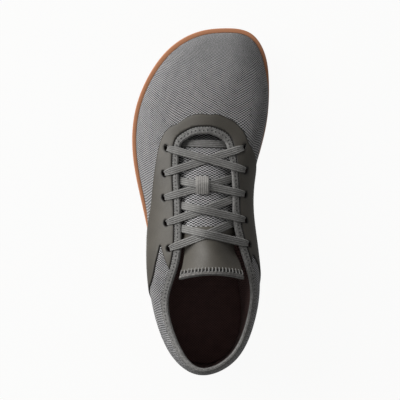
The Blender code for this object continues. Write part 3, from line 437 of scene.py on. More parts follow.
def new_piece(name, points, faces, material, slot=None, nodes=(), uv=None, sharp=50.0,
              attributes=()):
    """A piece of the shoe: its mesh, material, map, and its place on the frame."""
    mesh = bpy.data.meshes.new(name)
    mesh.from_pydata(np.asarray(points, float).tolist(), [], [tuple(f) for f in faces])
    if uv is not None:
        layer = mesh.uv_layers.new(name="cloth")
        corners = np.empty(len(mesh.loops), int)
        mesh.loops.foreach_get("vertex_index", corners)
        layer.data.foreach_set("uv", np.asarray(uv, np.float32)[corners].ravel())
    for label, values in attributes:
        made = mesh.attributes.new(label, "FLOAT", "POINT")
        made.data.foreach_set("value", np.asarray(values, np.float32))
    work = bmesh.new()
    work.from_mesh(mesh)
    bmesh.ops.remove_doubles(work, verts=work.verts, dist=1e-7)
    bmesh.ops.dissolve_degenerate(work, edges=work.edges, dist=1e-8)
    bmesh.ops.recalc_face_normals(work, faces=work.faces)
    work.to_mesh(mesh)
    work.free()
    mesh.shade_smooth()
    mesh.set_sharp_from_angle(angle=math.radians(sharp))
    mesh.materials.append(material)
    made = new_object(name, mesh)
    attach(made, BODY)
    if nodes:
        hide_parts(*nodes)
    return made


def grid_faces(count, size, closed_count, closed_size):
    """Quads of a grid of point numbers, closed round either way where asked."""
    faces = []
    for c in range(count if closed_count else count - 1):
        d = (c + 1) % count
        for r in range(size if closed_size else size - 1):
            s = (r + 1) % size
            faces.append((c * size + r, d * size + r, d * size + s, c * size + s))
    return faces


def thick_faces(cells, count):
    """Faces of a closed body between two like sheets, of which cells are the first."""
    faces = [tuple(cell) for cell in cells]
    faces += [tuple(i + count for i in reversed(cell)) for cell in cells]
    edges = {(cell[k - 1], cell[k]) for cell in cells for k in range(len(cell))}
    faces += [(b, a, a + count, b + count) for a, b in sorted(edges) if (b, a) not in edges]
    return faces


def as_array(points):
    """Array of a list of vectors."""
    return np.array([tuple(p) for p in points])


def add_tube(points, faces, middle, across, up, width, height):
    """Add a closed tube of oval section along a line to a piece's points and faces."""
    first, rows = len(points), len(middle)
    for r in range(rows):
        for q in range(TUBE_SIDES):
            turn = 2 * math.pi * q / TUBE_SIDES
            points.append(middle[r] + across[r] * width[r] * math.cos(turn)
                          + up[r] * height[r] * math.sin(turn))
    faces += [tuple(first + i for i in face)
              for face in grid_faces(rows, TUBE_SIDES, False, True)]
    faces.append(tuple(first + q for q in range(TUBE_SIDES)))
    faces.append(tuple(first + (rows - 1) * TUBE_SIDES + q for q in reversed(range(TUBE_SIDES))))


class Nodes:
    """Adds nodes to one tree, and sets or links their sockets."""

    def __init__(self, tree):
        self.tree = tree
        self.count = 0

    def add(self, kind, inputs=None, **settings):
        """A new node with its settings, and its inputs as values or sockets."""
        node = self.tree.nodes.new(kind)
        node.location = (220 * (self.count % 10), -260 * (self.count // 10))
        self.count += 1
        for key, value in settings.items():
            setattr(node, key, value)
        self.feed_all(node, inputs or {})
        return node

    def feed(self, socket, value):
        """Link a socket to another, or set its value."""
        if isinstance(value, bpy.types.NodeSocket):
            self.tree.links.new(value, socket)
        else:
            socket.default_value = value

    def feed_all(self, node, inputs):
        """Link or set several inputs of a node."""
        for key, value in inputs.items():
            self.feed(node.inputs[key], value)

    def math(self, operation, *values):
        """Result of a math node."""
        node = self.add("ShaderNodeMath", operation=operation)
        for socket, value in zip(node.inputs, values):
            self.feed(socket, value)
        return node.outputs[0]

    def mix(self, factor, first, second, blend_type="MIX"):
        """Colour mixed from two."""
        return self.add("ShaderNodeMix", {0: factor, 6: first, 7: second}, data_type="RGBA",
                        blend_type=blend_type).outputs[2]

    def noise(self, vector, scale, detail=2.0):
        """Fac of a noise texture."""
        return self.add("ShaderNodeTexNoise", {"Vector": vector, "Scale": scale,
                                               "Detail": detail}).outputs[0]

    def spread(self, value, low, high, to_low=0.0, to_high=1.0):
        """A value moved from one range to another, and kept inside it."""
        inputs = {0: value, 1: low, 2: high, 3: to_low, 4: to_high}
        return self.add("ShaderNodeMapRange", inputs, clamp=True).outputs[0]

    def parts(self, vector):
        """The three values of a vector."""
        return self.add("ShaderNodeSeparateXYZ", {0: vector}).outputs

    def hump(self, value):
        """Half a wave over each whole step of a value."""
        return self.math("SINE", self.math("MULTIPLY", self.math("FRACT", value), math.pi))

    def random(self, x, y, z=0.0):
        """A random value for each cell of three whole numbers."""
        cell = self.add("ShaderNodeCombineXYZ", {0: x, 1: y, 2: z}).outputs[0]
        return self.add("ShaderNodeTexWhiteNoise", {0: cell}, noise_dimensions="3D").outputs[0]

    def bump(self, height, distance):
        """Normal of a surface with a height on it."""
        return self.add("ShaderNodeBump", {"Height": height, "Distance": distance,
                                           "Strength": 1.0}).outputs[0]

    def attribute(self, name):
        """A value carried by the mesh."""
        return self.add("ShaderNodeAttribute", attribute_name=name).outputs["Fac"]

    def group(self, name, build, inputs):
        """Outputs of a group node, its tree built once."""
        tree = bpy.data.node_groups.get(name) or build(name)
        return self.add("ShaderNodeGroup", inputs, node_tree=tree).outputs


def new_group(name, inputs, outputs):
    """A shader node group from a vector and values: its builder and its two end nodes."""
    tree = bpy.data.node_groups.new(name, "ShaderNodeTree")
    tree.interface.new_socket(name="Vector", in_out="INPUT", socket_type="NodeSocketVector")
    for label, default in inputs.items():
        socket = tree.interface.new_socket(name=label, in_out="INPUT",
                                           socket_type="NodeSocketFloat")
        socket.default_value = default
    for label in outputs:
        tree.interface.new_socket(name=label, in_out="OUTPUT", socket_type="NodeSocketFloat")
    nodes = Nodes(tree)
    return nodes, nodes.add("NodeGroupInput").outputs, nodes.add("NodeGroupOutput")


def knit_group(name):
    """Rows of knitted loops of two yarns in turn: height, painted shade in the gaps, a random
    value and the yarn.
    """
    nodes, given, out = new_group(name, {"Wale": 0.0012, "Course": 0.0010},
                                  ["Height", "Depth", "Random", "Yarn"])
    place = nodes.parts(given["Vector"])
    a = nodes.math("DIVIDE", place[0], given["Wale"])
    b = nodes.math("DIVIDE", place[1], given["Course"])
    across = nodes.math("SUBTRACT", nodes.math("FRACT", a), 0.5)
    away = nodes.math("ABSOLUTE", across)
    rise = nodes.math("MULTIPLY_ADD", away, 1.3, b)
    leg = nodes.math("SINE", nodes.math("MULTIPLY", away, 2 * math.pi))
    height = nodes.math("MULTIPLY", nodes.math("ABSOLUTE", leg), nodes.hump(rise))
    column, row = nodes.math("FLOOR", a), nodes.math("FLOOR", rise)
    random = nodes.random(column, row, nodes.math("SIGN", across))
    turn = nodes.math("PINGPONG", nodes.math("ADD", column, row), 1.0)
    nodes.feed_all(out, {
        "Height": nodes.math("POWER", height, 0.6),
        # Painted shade: 1 down in the gaps between the loops, 0 on their tops.
        "Depth": nodes.spread(height, 0.0, 0.55, 1.0, 0.0),
        "Random": random,
        "Yarn": nodes.math("MULTIPLY_ADD", turn, 0.62, nodes.math("MULTIPLY", random, 0.38))})
    return nodes.tree


def stitch_row_group(name):
    """A row of stitch holes along a band, for a dip and painted shade: 1 in a hole, 0 elsewhere.
    """
    nodes, given, out = new_group(
        name, {"Row": 0.001, "Half Width": 0.0004, "Pitch": 0.002, "Share": 0.5}, ["Mask"])
    place = nodes.parts(given["Vector"])
    away = nodes.math("ABSOLUTE", nodes.math("SUBTRACT", place[1], given["Row"]))
    inside = nodes.math("SUBTRACT", 1.0, nodes.math("DIVIDE", away, given["Half Width"]))
    step = nodes.math("FRACT", nodes.math("DIVIDE", place[0], given["Pitch"]))
    hole = nodes.math("SUBTRACT", given["Share"], step)
    both = nodes.math("MINIMUM", nodes.math("MULTIPLY", inside, 3.0),
                      nodes.math("MULTIPLY", hole, 12.0))
    mask = nodes.math("MAXIMUM", nodes.math("MINIMUM", both, 1.0), 0.0)
    nodes.feed_all(out, {"Mask": mask})
    return nodes.tree


def weave_group(name):
    """Lengthwise ribs crossed by picks: height, painted shade between them, and a random value
    per pick.
    """
    nodes, given, out = new_group(name, {"Rib": 0.0010, "Pick": 0.0008},
                                  ["Height", "Depth", "Random"])
    place = nodes.parts(given["Vector"])
    a = nodes.math("DIVIDE", place[1], given["Rib"])
    column = nodes.math("FLOOR", a)
    b = nodes.math("MULTIPLY_ADD", column, 0.5, nodes.math("DIVIDE", place[0], given["Pick"]))
    pick = nodes.math("MULTIPLY_ADD", nodes.hump(b), 0.6, 0.4)
    height = nodes.math("MULTIPLY", nodes.hump(a), pick)
    nodes.feed_all(out, {"Height": height, "Depth": nodes.spread(height, 0.0, 0.6, 1.0, 0.0),
                         "Random": nodes.random(column, nodes.math("FLOOR", b))})
    return nodes.tree


def grain_group(name):
    """Fine grain and broad unevenness of a moulded or coated surface."""
    nodes, given, out = new_group(name, {"Fine": 1500.0, "Broad": 45.0}, ["Height", "Patch"])
    fine = nodes.noise(given["Vector"], given["Fine"], 3.0)
    cells = nodes.add("ShaderNodeTexVoronoi", {"Vector": given["Vector"],
                                               "Scale": given["Fine"]}).outputs[0]
    patch = nodes.noise(given["Vector"], given["Broad"], 4.0)
    nodes.feed_all(out, {"Height": nodes.math("MULTIPLY_ADD", cells, 0.5, fine),
                         "Patch": nodes.spread(patch, 0.3, 0.7)})
    return nodes.tree


def new_material(name):
    """A material with its builder and its shader."""
    made = bpy.data.materials.new(name)
    made.use_nodes = True
    nodes = Nodes(made.node_tree)
    return made, nodes, made.node_tree.nodes["Principled BSDF"]


def shade(colour, factor):
    """A colour made lighter or darker."""
    return (colour[0] * factor, colour[1] * factor, colour[2] * factor, 1.0)


def cloth_map(nodes):
    """The piece's own flat map in metres."""
    return nodes.add("ShaderNodeUVMap", uv_map="cloth").outputs[0]


def place_map(nodes):
    """Place of a point on the object, in metres."""
    return nodes.add("ShaderNodeTexCoord").outputs["Object"]


def knit_material(name, colour, wale, course, contrast=1.0):
    """Knitted cloth of light and dark yarn in turn, with painted shade in the gaps between the
    loops.
    """
    made, nodes, shader = new_material(name)
    place = cloth_map(nodes)
    stitch = nodes.group("Knit Stitch", knit_group,
                         {"Vector": place, "Wale": wale, "Course": course})
    turn = nodes.spread(stitch["Yarn"], 0.40, 0.60)
    yarn = nodes.mix(turn, shade(colour, 1 - 0.97 * contrast), shade(colour, 1 + 2.5 * contrast))
    # Painted shade darkens the yarn in the gaps between the loops.
    painted_shade = nodes.mix(nodes.math("MULTIPLY", stitch["Depth"], 0.7), yarn, shade(colour, 0.15))
    broad = nodes.spread(nodes.noise(place, 110.0, 4.0), 0.3, 0.7)
    tint = nodes.mix(broad, (0.88, 0.88, 0.89, 1.0), (1.10, 1.09, 1.08, 1.0))
    nodes.feed_all(shader, {
        "Base Color": nodes.mix(1.0, painted_shade, tint, "MULTIPLY"),
        "Roughness": nodes.spread(stitch["Random"], 0.0, 1.0, 0.82, 0.98),
        "Specular IOR Level": 0.25, "Sheen Weight": 0.12, "Sheen Roughness": 0.5,
        "Normal": nodes.bump(stitch["Height"], 0.0004)})
    return made


def weave_material(name, colour, rib, pick, contrast=1.0, depth=0.0003, rows=(), turned=None):
    """Narrow woven or knitted band with lengthwise ribs, with painted shade between them.

    rows are rows of stitch holes, darkened with painted shade: place across the band, half width,
    pitch and share of the pitch. From turned on, across the band, the band's inner side is
    darkened with painted shade.
    """
    made, nodes, shader = new_material(name)
    place = cloth_map(nodes)
    weave = nodes.group("Ribbed Weave", weave_group, {"Vector": place, "Rib": rib, "Pick": pick})
    yarn = nodes.mix(weave["Random"], shade(colour, 1 - 0.3 * contrast),
                     shade(colour, 1 + 0.3 * contrast))
    # Painted shade darkens the yarn between the ribs and the picks.
    tone = nodes.mix(nodes.math("MULTIPLY", weave["Depth"], 0.75), yarn, shade(colour, 0.28))
    height = weave["Height"]
    for row, half, pitch, share in rows:
        mask = nodes.group("Stitch Row", stitch_row_group, {
            "Vector": place, "Row": row, "Half Width": half, "Pitch": pitch,
            "Share": share})["Mask"]
        # Painted shade in each stitch hole, which also dips the surface.
        tone = nodes.mix(nodes.math("MULTIPLY", mask, 0.9), tone, shade(colour, 0.07))
        height = nodes.math("SUBTRACT", height, mask)
    # Painted shade on the band's turned-in inner side.
    if turned is not None:
        inner = nodes.spread(nodes.parts(place)[1], turned, turned + 0.0010)
        tone = nodes.mix(inner, tone, shade(colour, 0.22))
    nodes.feed_all(shader, {
        "Base Color": tone, "Roughness": nodes.spread(weave["Random"], 0.0, 1.0, 0.78, 0.95),
        "Specular IOR Level": 0.3, "Sheen Weight": 0.1, "Normal": nodes.bump(height, depth)})
    return made


def grain_material(name, colour, fine, roughness, depth, dark=0.82):
    """Smooth coated cloth or moulded rubber with a fine grain."""
    made, nodes, shader = new_material(name)
    grain = nodes.group("Fine Grain", grain_group, {"Vector": place_map(nodes), "Fine": fine})
    tone = nodes.mix(grain["Patch"], shade(colour, dark), shade(colour, 2 - dark))
    speck = nodes.mix(nodes.spread(grain["Height"], 0.55, 1.0, 0.0, 0.35), tone,
                      shade(colour, 1.35))
    rough = nodes.spread(grain["Height"], 0.3, 1.1, roughness + 0.12, roughness - 0.08)
    nodes.feed_all(shader, {"Base Color": speck, "Roughness": rough, "Specular IOR Level": 0.4,
                            "Normal": nodes.bump(grain["Height"], depth)})
    return made, nodes, shader, speck


def smooth_material(name, colour):
    """The coated overlay, darkened with painted shade over its cut edge."""
    made, nodes, shader, speck = grain_material(name, colour, 1400.0, 0.55, 0.00005)
    # Painted shade: the overlay's edge and its underside are darkened.
    tone = nodes.mix(nodes.attribute("edge"), speck, shade(colour, 0.12))
    nodes.feed_all(shader, {"Base Color": tone})
    return made


def gum_material(name, tread, rim, grooves):
    """Gum rubber: paler on the rim, and darkened with painted shade down in the grooves of the
    tread.
    """
    made, nodes, shader, speck = grain_material(name, tread, 2200.0, 0.52, 0.00006, dark=0.93)
    tone = nodes.mix(nodes.attribute("side"), speck, (*rim, 1.0))
    # Painted shade: the tread darkened down in its grooves and recesses.
    tone = nodes.mix(nodes.attribute("groove"), tone, (*grooves, 1.0))
    nodes.feed_all(shader, {"Base Color": tone})
    return made


def thread_material(name, colour):
    """Twisted sewing thread."""
    return grain_material(name, colour, 3000.0, 0.7, 0.00003)[0]


# Finishes: how each is built, the settings it takes, and its own values
FINISHES = {
    "melange knit": (knit_material, ("knit", "wale", "course"), {}),
    "mesh lining": (knit_material, ("lining",), {"wale": 0.0012, "course": 0.0010,
                                                 "contrast": 0.15}),
    # The tape's two rows of stitch holes and its turned-in inner side are darkened with painted
    # shade.
    "knitted tape": (weave_material, ("tape",), {
        "rib": 0.0012, "pick": 0.0010, "turned": 0.0086,
        "rows": ((0.0010, 0.0007, 0.0019, 0.55), (0.0038, 0.0007, 0.0029, 0.4))}),
    # The edging's one row spans its whole pitch: a dark band of painted shade under the overlock
    # threads.
    "tongue edging": (weave_material, ("edging",), {
        "rib": 0.0012, "pick": 0.0010, "rows": ((0.0016, 0.0011, 1.0, 2.0),)}),
    "flat lace": (weave_material, ("lace",), {"rib": 0.0016, "pick": 0.0012, "contrast": 0.45,
                                              "depth": 0.0005}),
    "webbing": (weave_material, ("webbing",), {"rib": 0.0009, "pick": 0.0008, "contrast": 0.5,
                                               "depth": 0.0002}),
    "smooth overlay": (smooth_material, ("smooth",), {}),
    "stitch thread": (thread_material, ("thread",), {}),
    "gum rubber": (gum_material, ("gum", "gum_rim", "gum_groove_shade"), {}),
}


def finish(look, name):
    """The material of that name, built once from the settings that it uses."""
    made = bpy.data.materials.get(name)
    if made is None:
        build, settings, named = FINISHES[name]
        values = [getattr(look, setting) for setting in settings]
        made = build(name, *[v if isinstance(v, float) else tuple(v) for v in values], **named)
    return made


def make_upper(look):
    """The knitted wall, its lining, and the holes punched through both."""
    columns, rows = 420, 64
    u = (np.arange(columns) / columns)[:, None]
    end = share_below(u, BINDING_WIDTH * KNIT_END)
    share = end * (np.arange(rows) / (rows - 1))[None, :] ** 1.05
    outer = SKIN.at(u, share, 0.0)
    normals = unit(SKIN.at(u, share, 1.0) - outer)
    flat = knit_map(outer, normals)
    for name, top, bottom, cloth, slot, nodes in (
            ("upper_knit", 0.0, -KNIT_THICKNESS, "melange knit", "knit", ("upper",)),
            ("upper_lining", -LINING_START, -WALL, "mesh lining", "lining", ())):
        points = np.concatenate((outer + normals * top,
                                 (outer + normals * bottom)[:, ::-1]), axis=1)
        uv = np.concatenate((flat, flat[:, ::-1]), axis=1)
        faces = grid_faces(columns, 2 * rows, True, True)
        piece = new_piece(name, points.reshape(-1, 3), faces, finish(look, cloth), slot, nodes,
                          uv.reshape(-1, 2))
        punch(piece, EYELET_DIAMETER / 2 + PUNCH_ROOM)


def punch(piece, radius):
    """Cut the eyelet holes through a piece."""
    work = bmesh.new()
    for place in OUTER + INNER:
        middle, axis = eyelet(place, 0.0), eyelet(place, 1.0) - eyelet(place, 0.0)
        turn = Vector(axis).to_track_quat("Z", "Y").to_matrix().to_4x4()
        bmesh.ops.create_cone(work, cap_ends=True, segments=24, radius1=radius, radius2=radius,
                              depth=PUNCH_DEPTH, matrix=Matrix.Translation(middle) @ turn)
    mesh = bpy.data.meshes.new("punch")
    work.to_mesh(mesh)
    work.free()
    cutter = new_object("punch", mesh)
    cut = piece.modifiers.new("eyelets", "BOOLEAN")
    cut.operation = "DIFFERENCE"
    cut.solver = "EXACT"
    cut.object = cutter
    bpy.context.view_layer.update()
    finished = piece.evaluated_get(bpy.context.evaluated_depsgraph_get())
    made = bpy.data.meshes.new_from_object(finished)
    piece.modifiers.remove(cut)
    piece.data = made
    bpy.data.objects.remove(cutter)


def eyelet_places(rows):
    """Place round the ring and distance below the topline of each eyelet of a side."""
    return [(float(ring_at(station)), below * COLLAR_HEIGHT) for station, below in rows]


OUTER = eyelet_places(OUTER_EYELETS)
INNER = eyelet_places(INNER_EYELETS)


def eyelet(place, offset):
    """Middle of an eyelet, at an offset from the wall."""
    u, below = place
    return SKIN.at(u, share_below(u, below), offset)


def throat_edge(place, inwards):
    """Point on the topline at an eyelet, moved inwards from it across the throat."""
    u = place[0]
    top = SKIN.at(u, 1.0)
    step = top - SKIN.at(u, share_below(u, BINDING_WIDTH))
    step[2] = 0
    return top + unit(step) * inwards


def make_binding(look):
    """The tape round the throat and the collar, with its row of stitches."""
    columns = 900
    u = (np.arange(columns) / columns)[:, None]
    length = SKIN.value(SKIN.lengths, u)
    half = (BINDING_PROUD + BINDING_INSIDE) / 2
    profile = [(-0.0001, -0.0002), (0.0, 0.5 * BINDING_PROUD), (0.0004, 0.9 * BINDING_PROUD)]
    profile += [(up, BINDING_PROUD) for up in np.linspace(0.001, BINDING_WIDTH - 0.0018, 7)]
    for k in range(1, 10):
        turn = math.pi * k / 10
        profile.append((BINDING_WIDTH - TAPE_ROUND + TAPE_ROUND * math.sin(turn),
                        BINDING_PROUD - half + half * math.cos(turn)))
    profile += [(up, -BINDING_INSIDE) for up in np.linspace(BINDING_WIDTH - 0.0018, 0.0004, 5)]
    profile.append((0.0, -BINDING_INSIDE + 0.0004))
    profile = np.array(profile)
    share = 1 - (BINDING_WIDTH - profile[:, 0]) / length
    points = SKIN.at(u, np.minimum(share, 1.0), profile[:, 1])
    line = SKIN.at(u[:, 0], 1.0)
    steps = np.linalg.norm(np.roll(line, -1, axis=0) - line, axis=1)
    uv = np.stack(np.broadcast_arrays(way_along(line)[:, None], way_along(profile)), axis=-1)
    new_piece("collar_tape", points.reshape(-1, 3),
              grid_faces(columns, len(profile), True, True), finish(look, "knitted tape"),
              "tape", ("collar_binding",), uv.reshape(-1, 2))
    collar_stitches(look, int(steps.sum() / STITCH_PITCH))


def overlay_table(count):
    """Stations and the overlay's smoothed lines at them."""
    station = np.linspace(OVERLAY_START, OVERLAY_END, count)
    table = np.array(OVERLAY)
    width = int(count * 0.25 / (OVERLAY_END - OVERLAY_START)) * 2 + 1
    kernel = np.hanning(width + 2)[1:-1]
    kernel /= kernel.sum()
    lines = []
    for column in (1, 2, 3):
        line = np.interp(station, table[:, 0], table[:, column])
        padded = np.pad(line, width // 2, mode="edge")
        lines.append(np.convolve(padded, kernel, mode="valid"))
    return station, lines


def overlay_outline():
    """The overlay's closed outline as places round the ring and distances up the rib."""
    station, (low, strap, facing) = overlay_table(1400)
    u = ring_at(station)
    length = SKIN.value(SKIN.lengths, u)
    ceiling = 1 - (BINDING_WIDTH + 0.0001) / length
    low = np.maximum(low, SKIN.value(SKIN.rims, u) + 0.0006 / length)
    strap = np.maximum(strap, low + 0.001 / length)
    notch, below = facing - strap > NOTCH_LEAST, facing < ceiling
    outer, inner = notch & (station < OUTER_APEX), notch & (station > INNER_APEX)
    first, last = u[outer & below][0], u[inner & below][-1]

    def line(share, chosen, step=1):
        return np.stack((u, share), axis=1)[chosen][::step]

    outline = np.concatenate((
        line(low, slice(None)), line(strap, inner, -1), line(facing, inner & below),
        line(ceiling, (first < u) & (u < last), -1), line(facing, outer & below),
        line(strap, outer, -1)))
    outline[:, 1] *= SKIN.value(SKIN.lengths, outline[:, 0])
    return outline


def collar_stitches(look, count):
    """A row of slanted stitches just below the tape, as one piece."""
    points, faces = [], []
    slant = np.linspace(-1, 1, STITCH_ROWS)
    bow = np.sqrt(np.clip(1 - slant ** 2, 0, 1))
    size = STITCH_RADIUS * (0.35 + 0.65 * bow)
    for k in range(count):
        t = (k + np.linspace(-0.5, 0.5, STITCH_ROWS) * STITCH_SHARE) / count
        u = t % 1.0
        share = share_below(u, BINDING_WIDTH + STITCH_BELOW + STITCH_SWING * slant)
        middle = SKIN.at(u, share, STITCH_RADIUS * (1.4 * bow - 0.9))
        normal = unit(SKIN.at(u, share, 1.0) - SKIN.at(u, share, 0.0))
        side = np.cross(unit(np.gradient(middle, axis=0)), normal)
        add_tube(points, faces, middle, side, normal, size * 1.3, size)
    new_piece("collar_stitches", points, faces, finish(look, "stitch thread"), "tape")


def even_outline(outline, step, point):
    """A closed outline cut anew at even steps, measured on the surface."""
    closed = np.concatenate((outline, outline[:1]))
    distance = way_along(point(closed))
    count = int(distance[-1] / step)
    marks = np.arange(count) * distance[-1] / count
    return np.stack([np.interp(marks, distance, closed[:, k]) for k in (0, 1)], axis=1)


def signed_area(outline):
    """Area of a closed outline, positive where it runs counter-clockwise."""
    x, y = outline[:, 0], outline[:, 1]
    return float(np.sum(x * np.roll(y, -1) - np.roll(x, -1) * y)) / 2


def patch_mesh(outline, holes, point, spacing, edge, scale):
    """Triangles of a patch on a surface, with rounded edges.

    outline and holes are closed lines in the surface's own two coordinates, point turns
    those into space, and scale makes the first coordinate about as long as the second.
    Returns coordinates, how far each point is in from the edge (0 to 1) and triangles.
    """
    loops = [outline] + holes
    border = np.concatenate([point(loop) for loop in loops])
    tree = KDTree(len(border))
    for i, place in enumerate(border):
        tree.insert(place, i)
    tree.balance()
    flat = [loop * scale for loop in loops]
    low, high = flat[0].min(0), flat[0].max(0)
    rows = int((high[1] - low[1]) / (spacing * 0.87)) + 2
    places = int((high[0] - low[0]) / spacing) + 2
    grid = [(low[0] + (c + 0.5 * (r % 2)) * spacing, low[1] + r * spacing * 0.87)
            for r in range(rows) for c in range(places)]
    near = []
    for loop, line in zip(loops, flat):
        step = np.roll(line, -1, axis=0) - np.roll(line, 1, axis=0)
        inward = quarter_turn(step)
        if (signed_area(line) > 0) != (loop is outline):
            inward = -inward
        for depth in (0.13, 0.5, 1.0):
            near += (line + inward * edge * depth).tolist()
    candidates = np.array(near + grid)
    inside = in_outline(candidates, flat[0])
    for hole in flat[1:]:
        inside &= ~in_outline(candidates, hole)
    candidates = candidates[inside]
    where = point(candidates / scale)
    far = np.array([tree.find(place)[2] for place in where])
    ring_count = sum(len(loop) for loop in loops) * 3
    is_grid = np.concatenate((np.zeros(ring_count, bool), np.ones(len(grid), bool)))[inside]
    keep = np.where(is_grid, far > edge * 1.4, far > edge * 0.1)
    candidates, far = candidates[keep], far[keep]
    vertices = [Vector(p) for loop in flat for p in loop] + [Vector(p) for p in candidates]
    outlines, first = [], 0
    for loop in flat:
        numbers = list(range(first, first + len(loop)))
        outlines.append(numbers if signed_area(loop) > 0 else numbers[::-1])
        first += len(loop)
    found, _, cells, _, _, sources = delaunay_2d_cdt(vertices, [], outlines, 1, 1e-7)
    cells = [tuple(cell) for cell, source in zip(cells, sources) if max(source) == 0]
    coordinates = np.array([tuple(p) for p in found]) / scale
    distance = np.array([tree.find(place)[2] for place in point(coordinates)])
    return coordinates, np.clip(distance / edge, 0, 1), cells


def in_outline(points, outline):
    """Which points lie inside a closed outline."""
    inside = np.zeros(len(points), bool)
    a, b = outline, np.roll(outline, -1, axis=0)
    for (ax, ay), (bx, by) in zip(a, b):
        if ay == by:
            continue
        crosses = (ay > points[:, 1]) != (by > points[:, 1])
        x = ax + (points[:, 1] - ay) / (by - ay) * (bx - ax)
        inside ^= crosses & (points[:, 0] < x)
    return inside


def rounded(share):
    """Height of a quarter-round edge at a share of its width."""
    return np.sqrt(np.clip(1 - (1 - share) ** 2, 0, 1))


def make_overlay(look):
    """The smooth panel round the throat and its straps, with rounded edges and holes."""
    def point(place, offset=0.0):
        share = place[:, 1] / SKIN.value(SKIN.lengths, place[:, 0])
        return SKIN.at(place[:, 0], share, offset)

    outline = even_outline(overlay_outline(), OVERLAY_STEP, point)
    holes = []
    for u, below in OUTER + INNER:
        middle = np.array([u, SKIN.value(SKIN.lengths, u) - below])
        pace = np.linalg.norm(point(middle[None] + [[1e-4, 0]]) - point(middle[None])) / 1e-4
        turn = np.arange(20) / 20 * 2 * math.pi
        around = np.stack((np.cos(turn) / pace, np.sin(turn)), axis=1)
        holes.append(middle + around * (EYELET_DIAMETER / 2))
    coordinates, inward, cells = patch_mesh(outline, holes, point, OVERLAY_SPACING,
                                            OVERLAY_EDGE, np.array([0.5, 1.0]))
    top = point(coordinates, OVERLAY_THICKNESS * rounded(inward))
    bottom = point(coordinates, -OVERLAY_SUNK)
    flat = knit_map(bottom, unit(point(coordinates, 1.0) - point(coordinates)))
    # How far each point lies in the painted shade of the overlay's edge; the underside is fully
    # shaded.
    edge = np.concatenate((np.sqrt(np.clip(1 - inward, 0, 1)), np.ones(len(inward))))
    new_piece("eyestay_overlay", np.concatenate((top, bottom)), thick_faces(cells, len(top)),
              finish(look, "smooth overlay"), "smooth_overlay", ("eyestay",),
              np.concatenate((flat, flat)), attributes=[("edge", edge)])


def smooth_rows(table, share):
    """Rows of a table at shares of its length, on a smooth open curve."""
    table = np.asarray(table, float)
    place = np.asarray(share) * (len(table) - 1)
    i = np.clip(place.astype(int), 0, len(table) - 2)
    t = (place - i)[..., None]
    p0, p1 = table[np.maximum(i - 1, 0)], table[i]
    p2, p3 = table[i + 1], table[np.minimum(i + 2, len(table) - 1)]
    return p1 + 0.5 * t * (p2 - p0 + t * (2 * p0 - 5 * p1 + 4 * p2 - p3
                                          + t * (3 * (p1 - p2) + p3 - p0)))


def neighbours(grid):
    """A grid moved one step each way, its borders repeated."""
    padded = np.pad(grid, 1, mode="edge")
    return padded[2:, 1:-1], padded[:-2, 1:-1], padded[1:-1, 2:], padded[1:-1, :-2]


class TongueSheet:
    """The upper face of the tongue as a fine grid, pressed down under the facings."""

    def __init__(self, lids, rows=111, places=61):
        self.rows, self.places = rows, places
        t = np.linspace(0, 1, rows)
        share, centre, half, crown, sag = smooth_rows(TONGUE, t).T[..., None]
        side = np.linspace(-1, 1, places)[None, :]
        x = (centre + half * side) * BALL_WIDTH + SHIFT[0]
        y = along(share) + SHIFT[1] - TONGUE_BOW * side * side * t[:, None]
        z = (crown - sag * side * side) * COLLAR_HEIGHT
        under = (crown - LID_REACH) * COLLAR_HEIGHT + 0 * side
        cap = np.full(x.shape, 1.0)
        for r in range(rows):
            if share[r, 0] < TONGUE_FREE:
                continue
            for p in range(places):
                origin = Vector((x[r, p], y[r, p], under[r, p]))
                for tree in lids:
                    hit = tree.ray_cast(origin, Vector((0, 0, 1)))[0]
                    if hit:
                        cap[r, p] = min(cap[r, p], hit.z - TONGUE_CLEARANCE)
        for _ in range(3):
            cap = np.minimum.reduce([cap, *neighbours(cap)])
        z = np.minimum(z, cap)
        for _ in range(6):
            z = np.minimum(z * 0.4 + sum(neighbours(z)) / 4 * 0.6, cap)
        self.points = np.stack((x, y, z), axis=-1)
        ahead = np.gradient(self.points, axis=0)
        aside = np.gradient(self.points, axis=1)
        self.normals = unit(np.cross(ahead, aside))
        if self.normals[0, places // 2, 2] < 0:
            self.normals = -self.normals
        self.distance = way_along(self.points[:, places // 2])

    def at(self, way, side, offset=0.0):
        """Points at distances from the tongue's front end and places across, 0 to 1."""
        way, side, offset = np.broadcast_arrays(way, side, offset)
        place = np.interp(way, self.distance, np.arange(self.rows))
        i = np.minimum(place.astype(int), self.rows - 2)
        s = (place - i)[..., None]
        across = np.clip(side, 0, 1) * (self.places - 1)
        j = np.minimum(across.astype(int), self.places - 2)
        t = (across - j)[..., None]
        return off_grid(self.points, self.normals, i, i + 1, j, s, t, offset)


def slab(name, sheet, ways, sides, top, bottom, edge, cloth, slot, nodes):
    """A thin body on the tongue, its edges rounded."""
    way, side = ways[:, None], sides[None, :]
    place = sheet.at(way, side)
    across = np.linalg.norm(np.diff(place, axis=1), axis=2).sum(1)[:, None]
    share = (side - sides[0]) / (sides[-1] - sides[0])
    inward = np.minimum(share, 1 - share) * across
    inward = np.minimum(inward, np.minimum(way - ways[0], ways[-1] - way))
    round_off = rounded(np.clip(inward / edge, 0, 1))
    middle = (top + bottom) / 2
    half = (top - bottom) / 2
    upper = sheet.at(way, side, middle + half * round_off)
    lower = sheet.at(way, side, middle - half * round_off)
    uv = np.stack(np.broadcast_arrays(place[..., 0], way - ways[0]), axis=-1).reshape(-1, 2)
    points = np.concatenate((upper.reshape(-1, 3), lower.reshape(-1, 3)))
    cells = grid_faces(len(ways), len(sides), False, False)
    new_piece(name, points, thick_faces(cells, len(ways) * len(sides)), cloth, slot, nodes,
              np.concatenate((uv, uv)))


def eased(low, high, edge, step):
    """Values from low to high, crowded at both ends."""
    inner = np.linspace(low + edge, high - edge, max(int((high - low) / step), 3))
    ends = edge * np.array([0, 0.06, 0.22, 0.5])
    return np.concatenate((low + ends, inner, (high - ends)[::-1]))


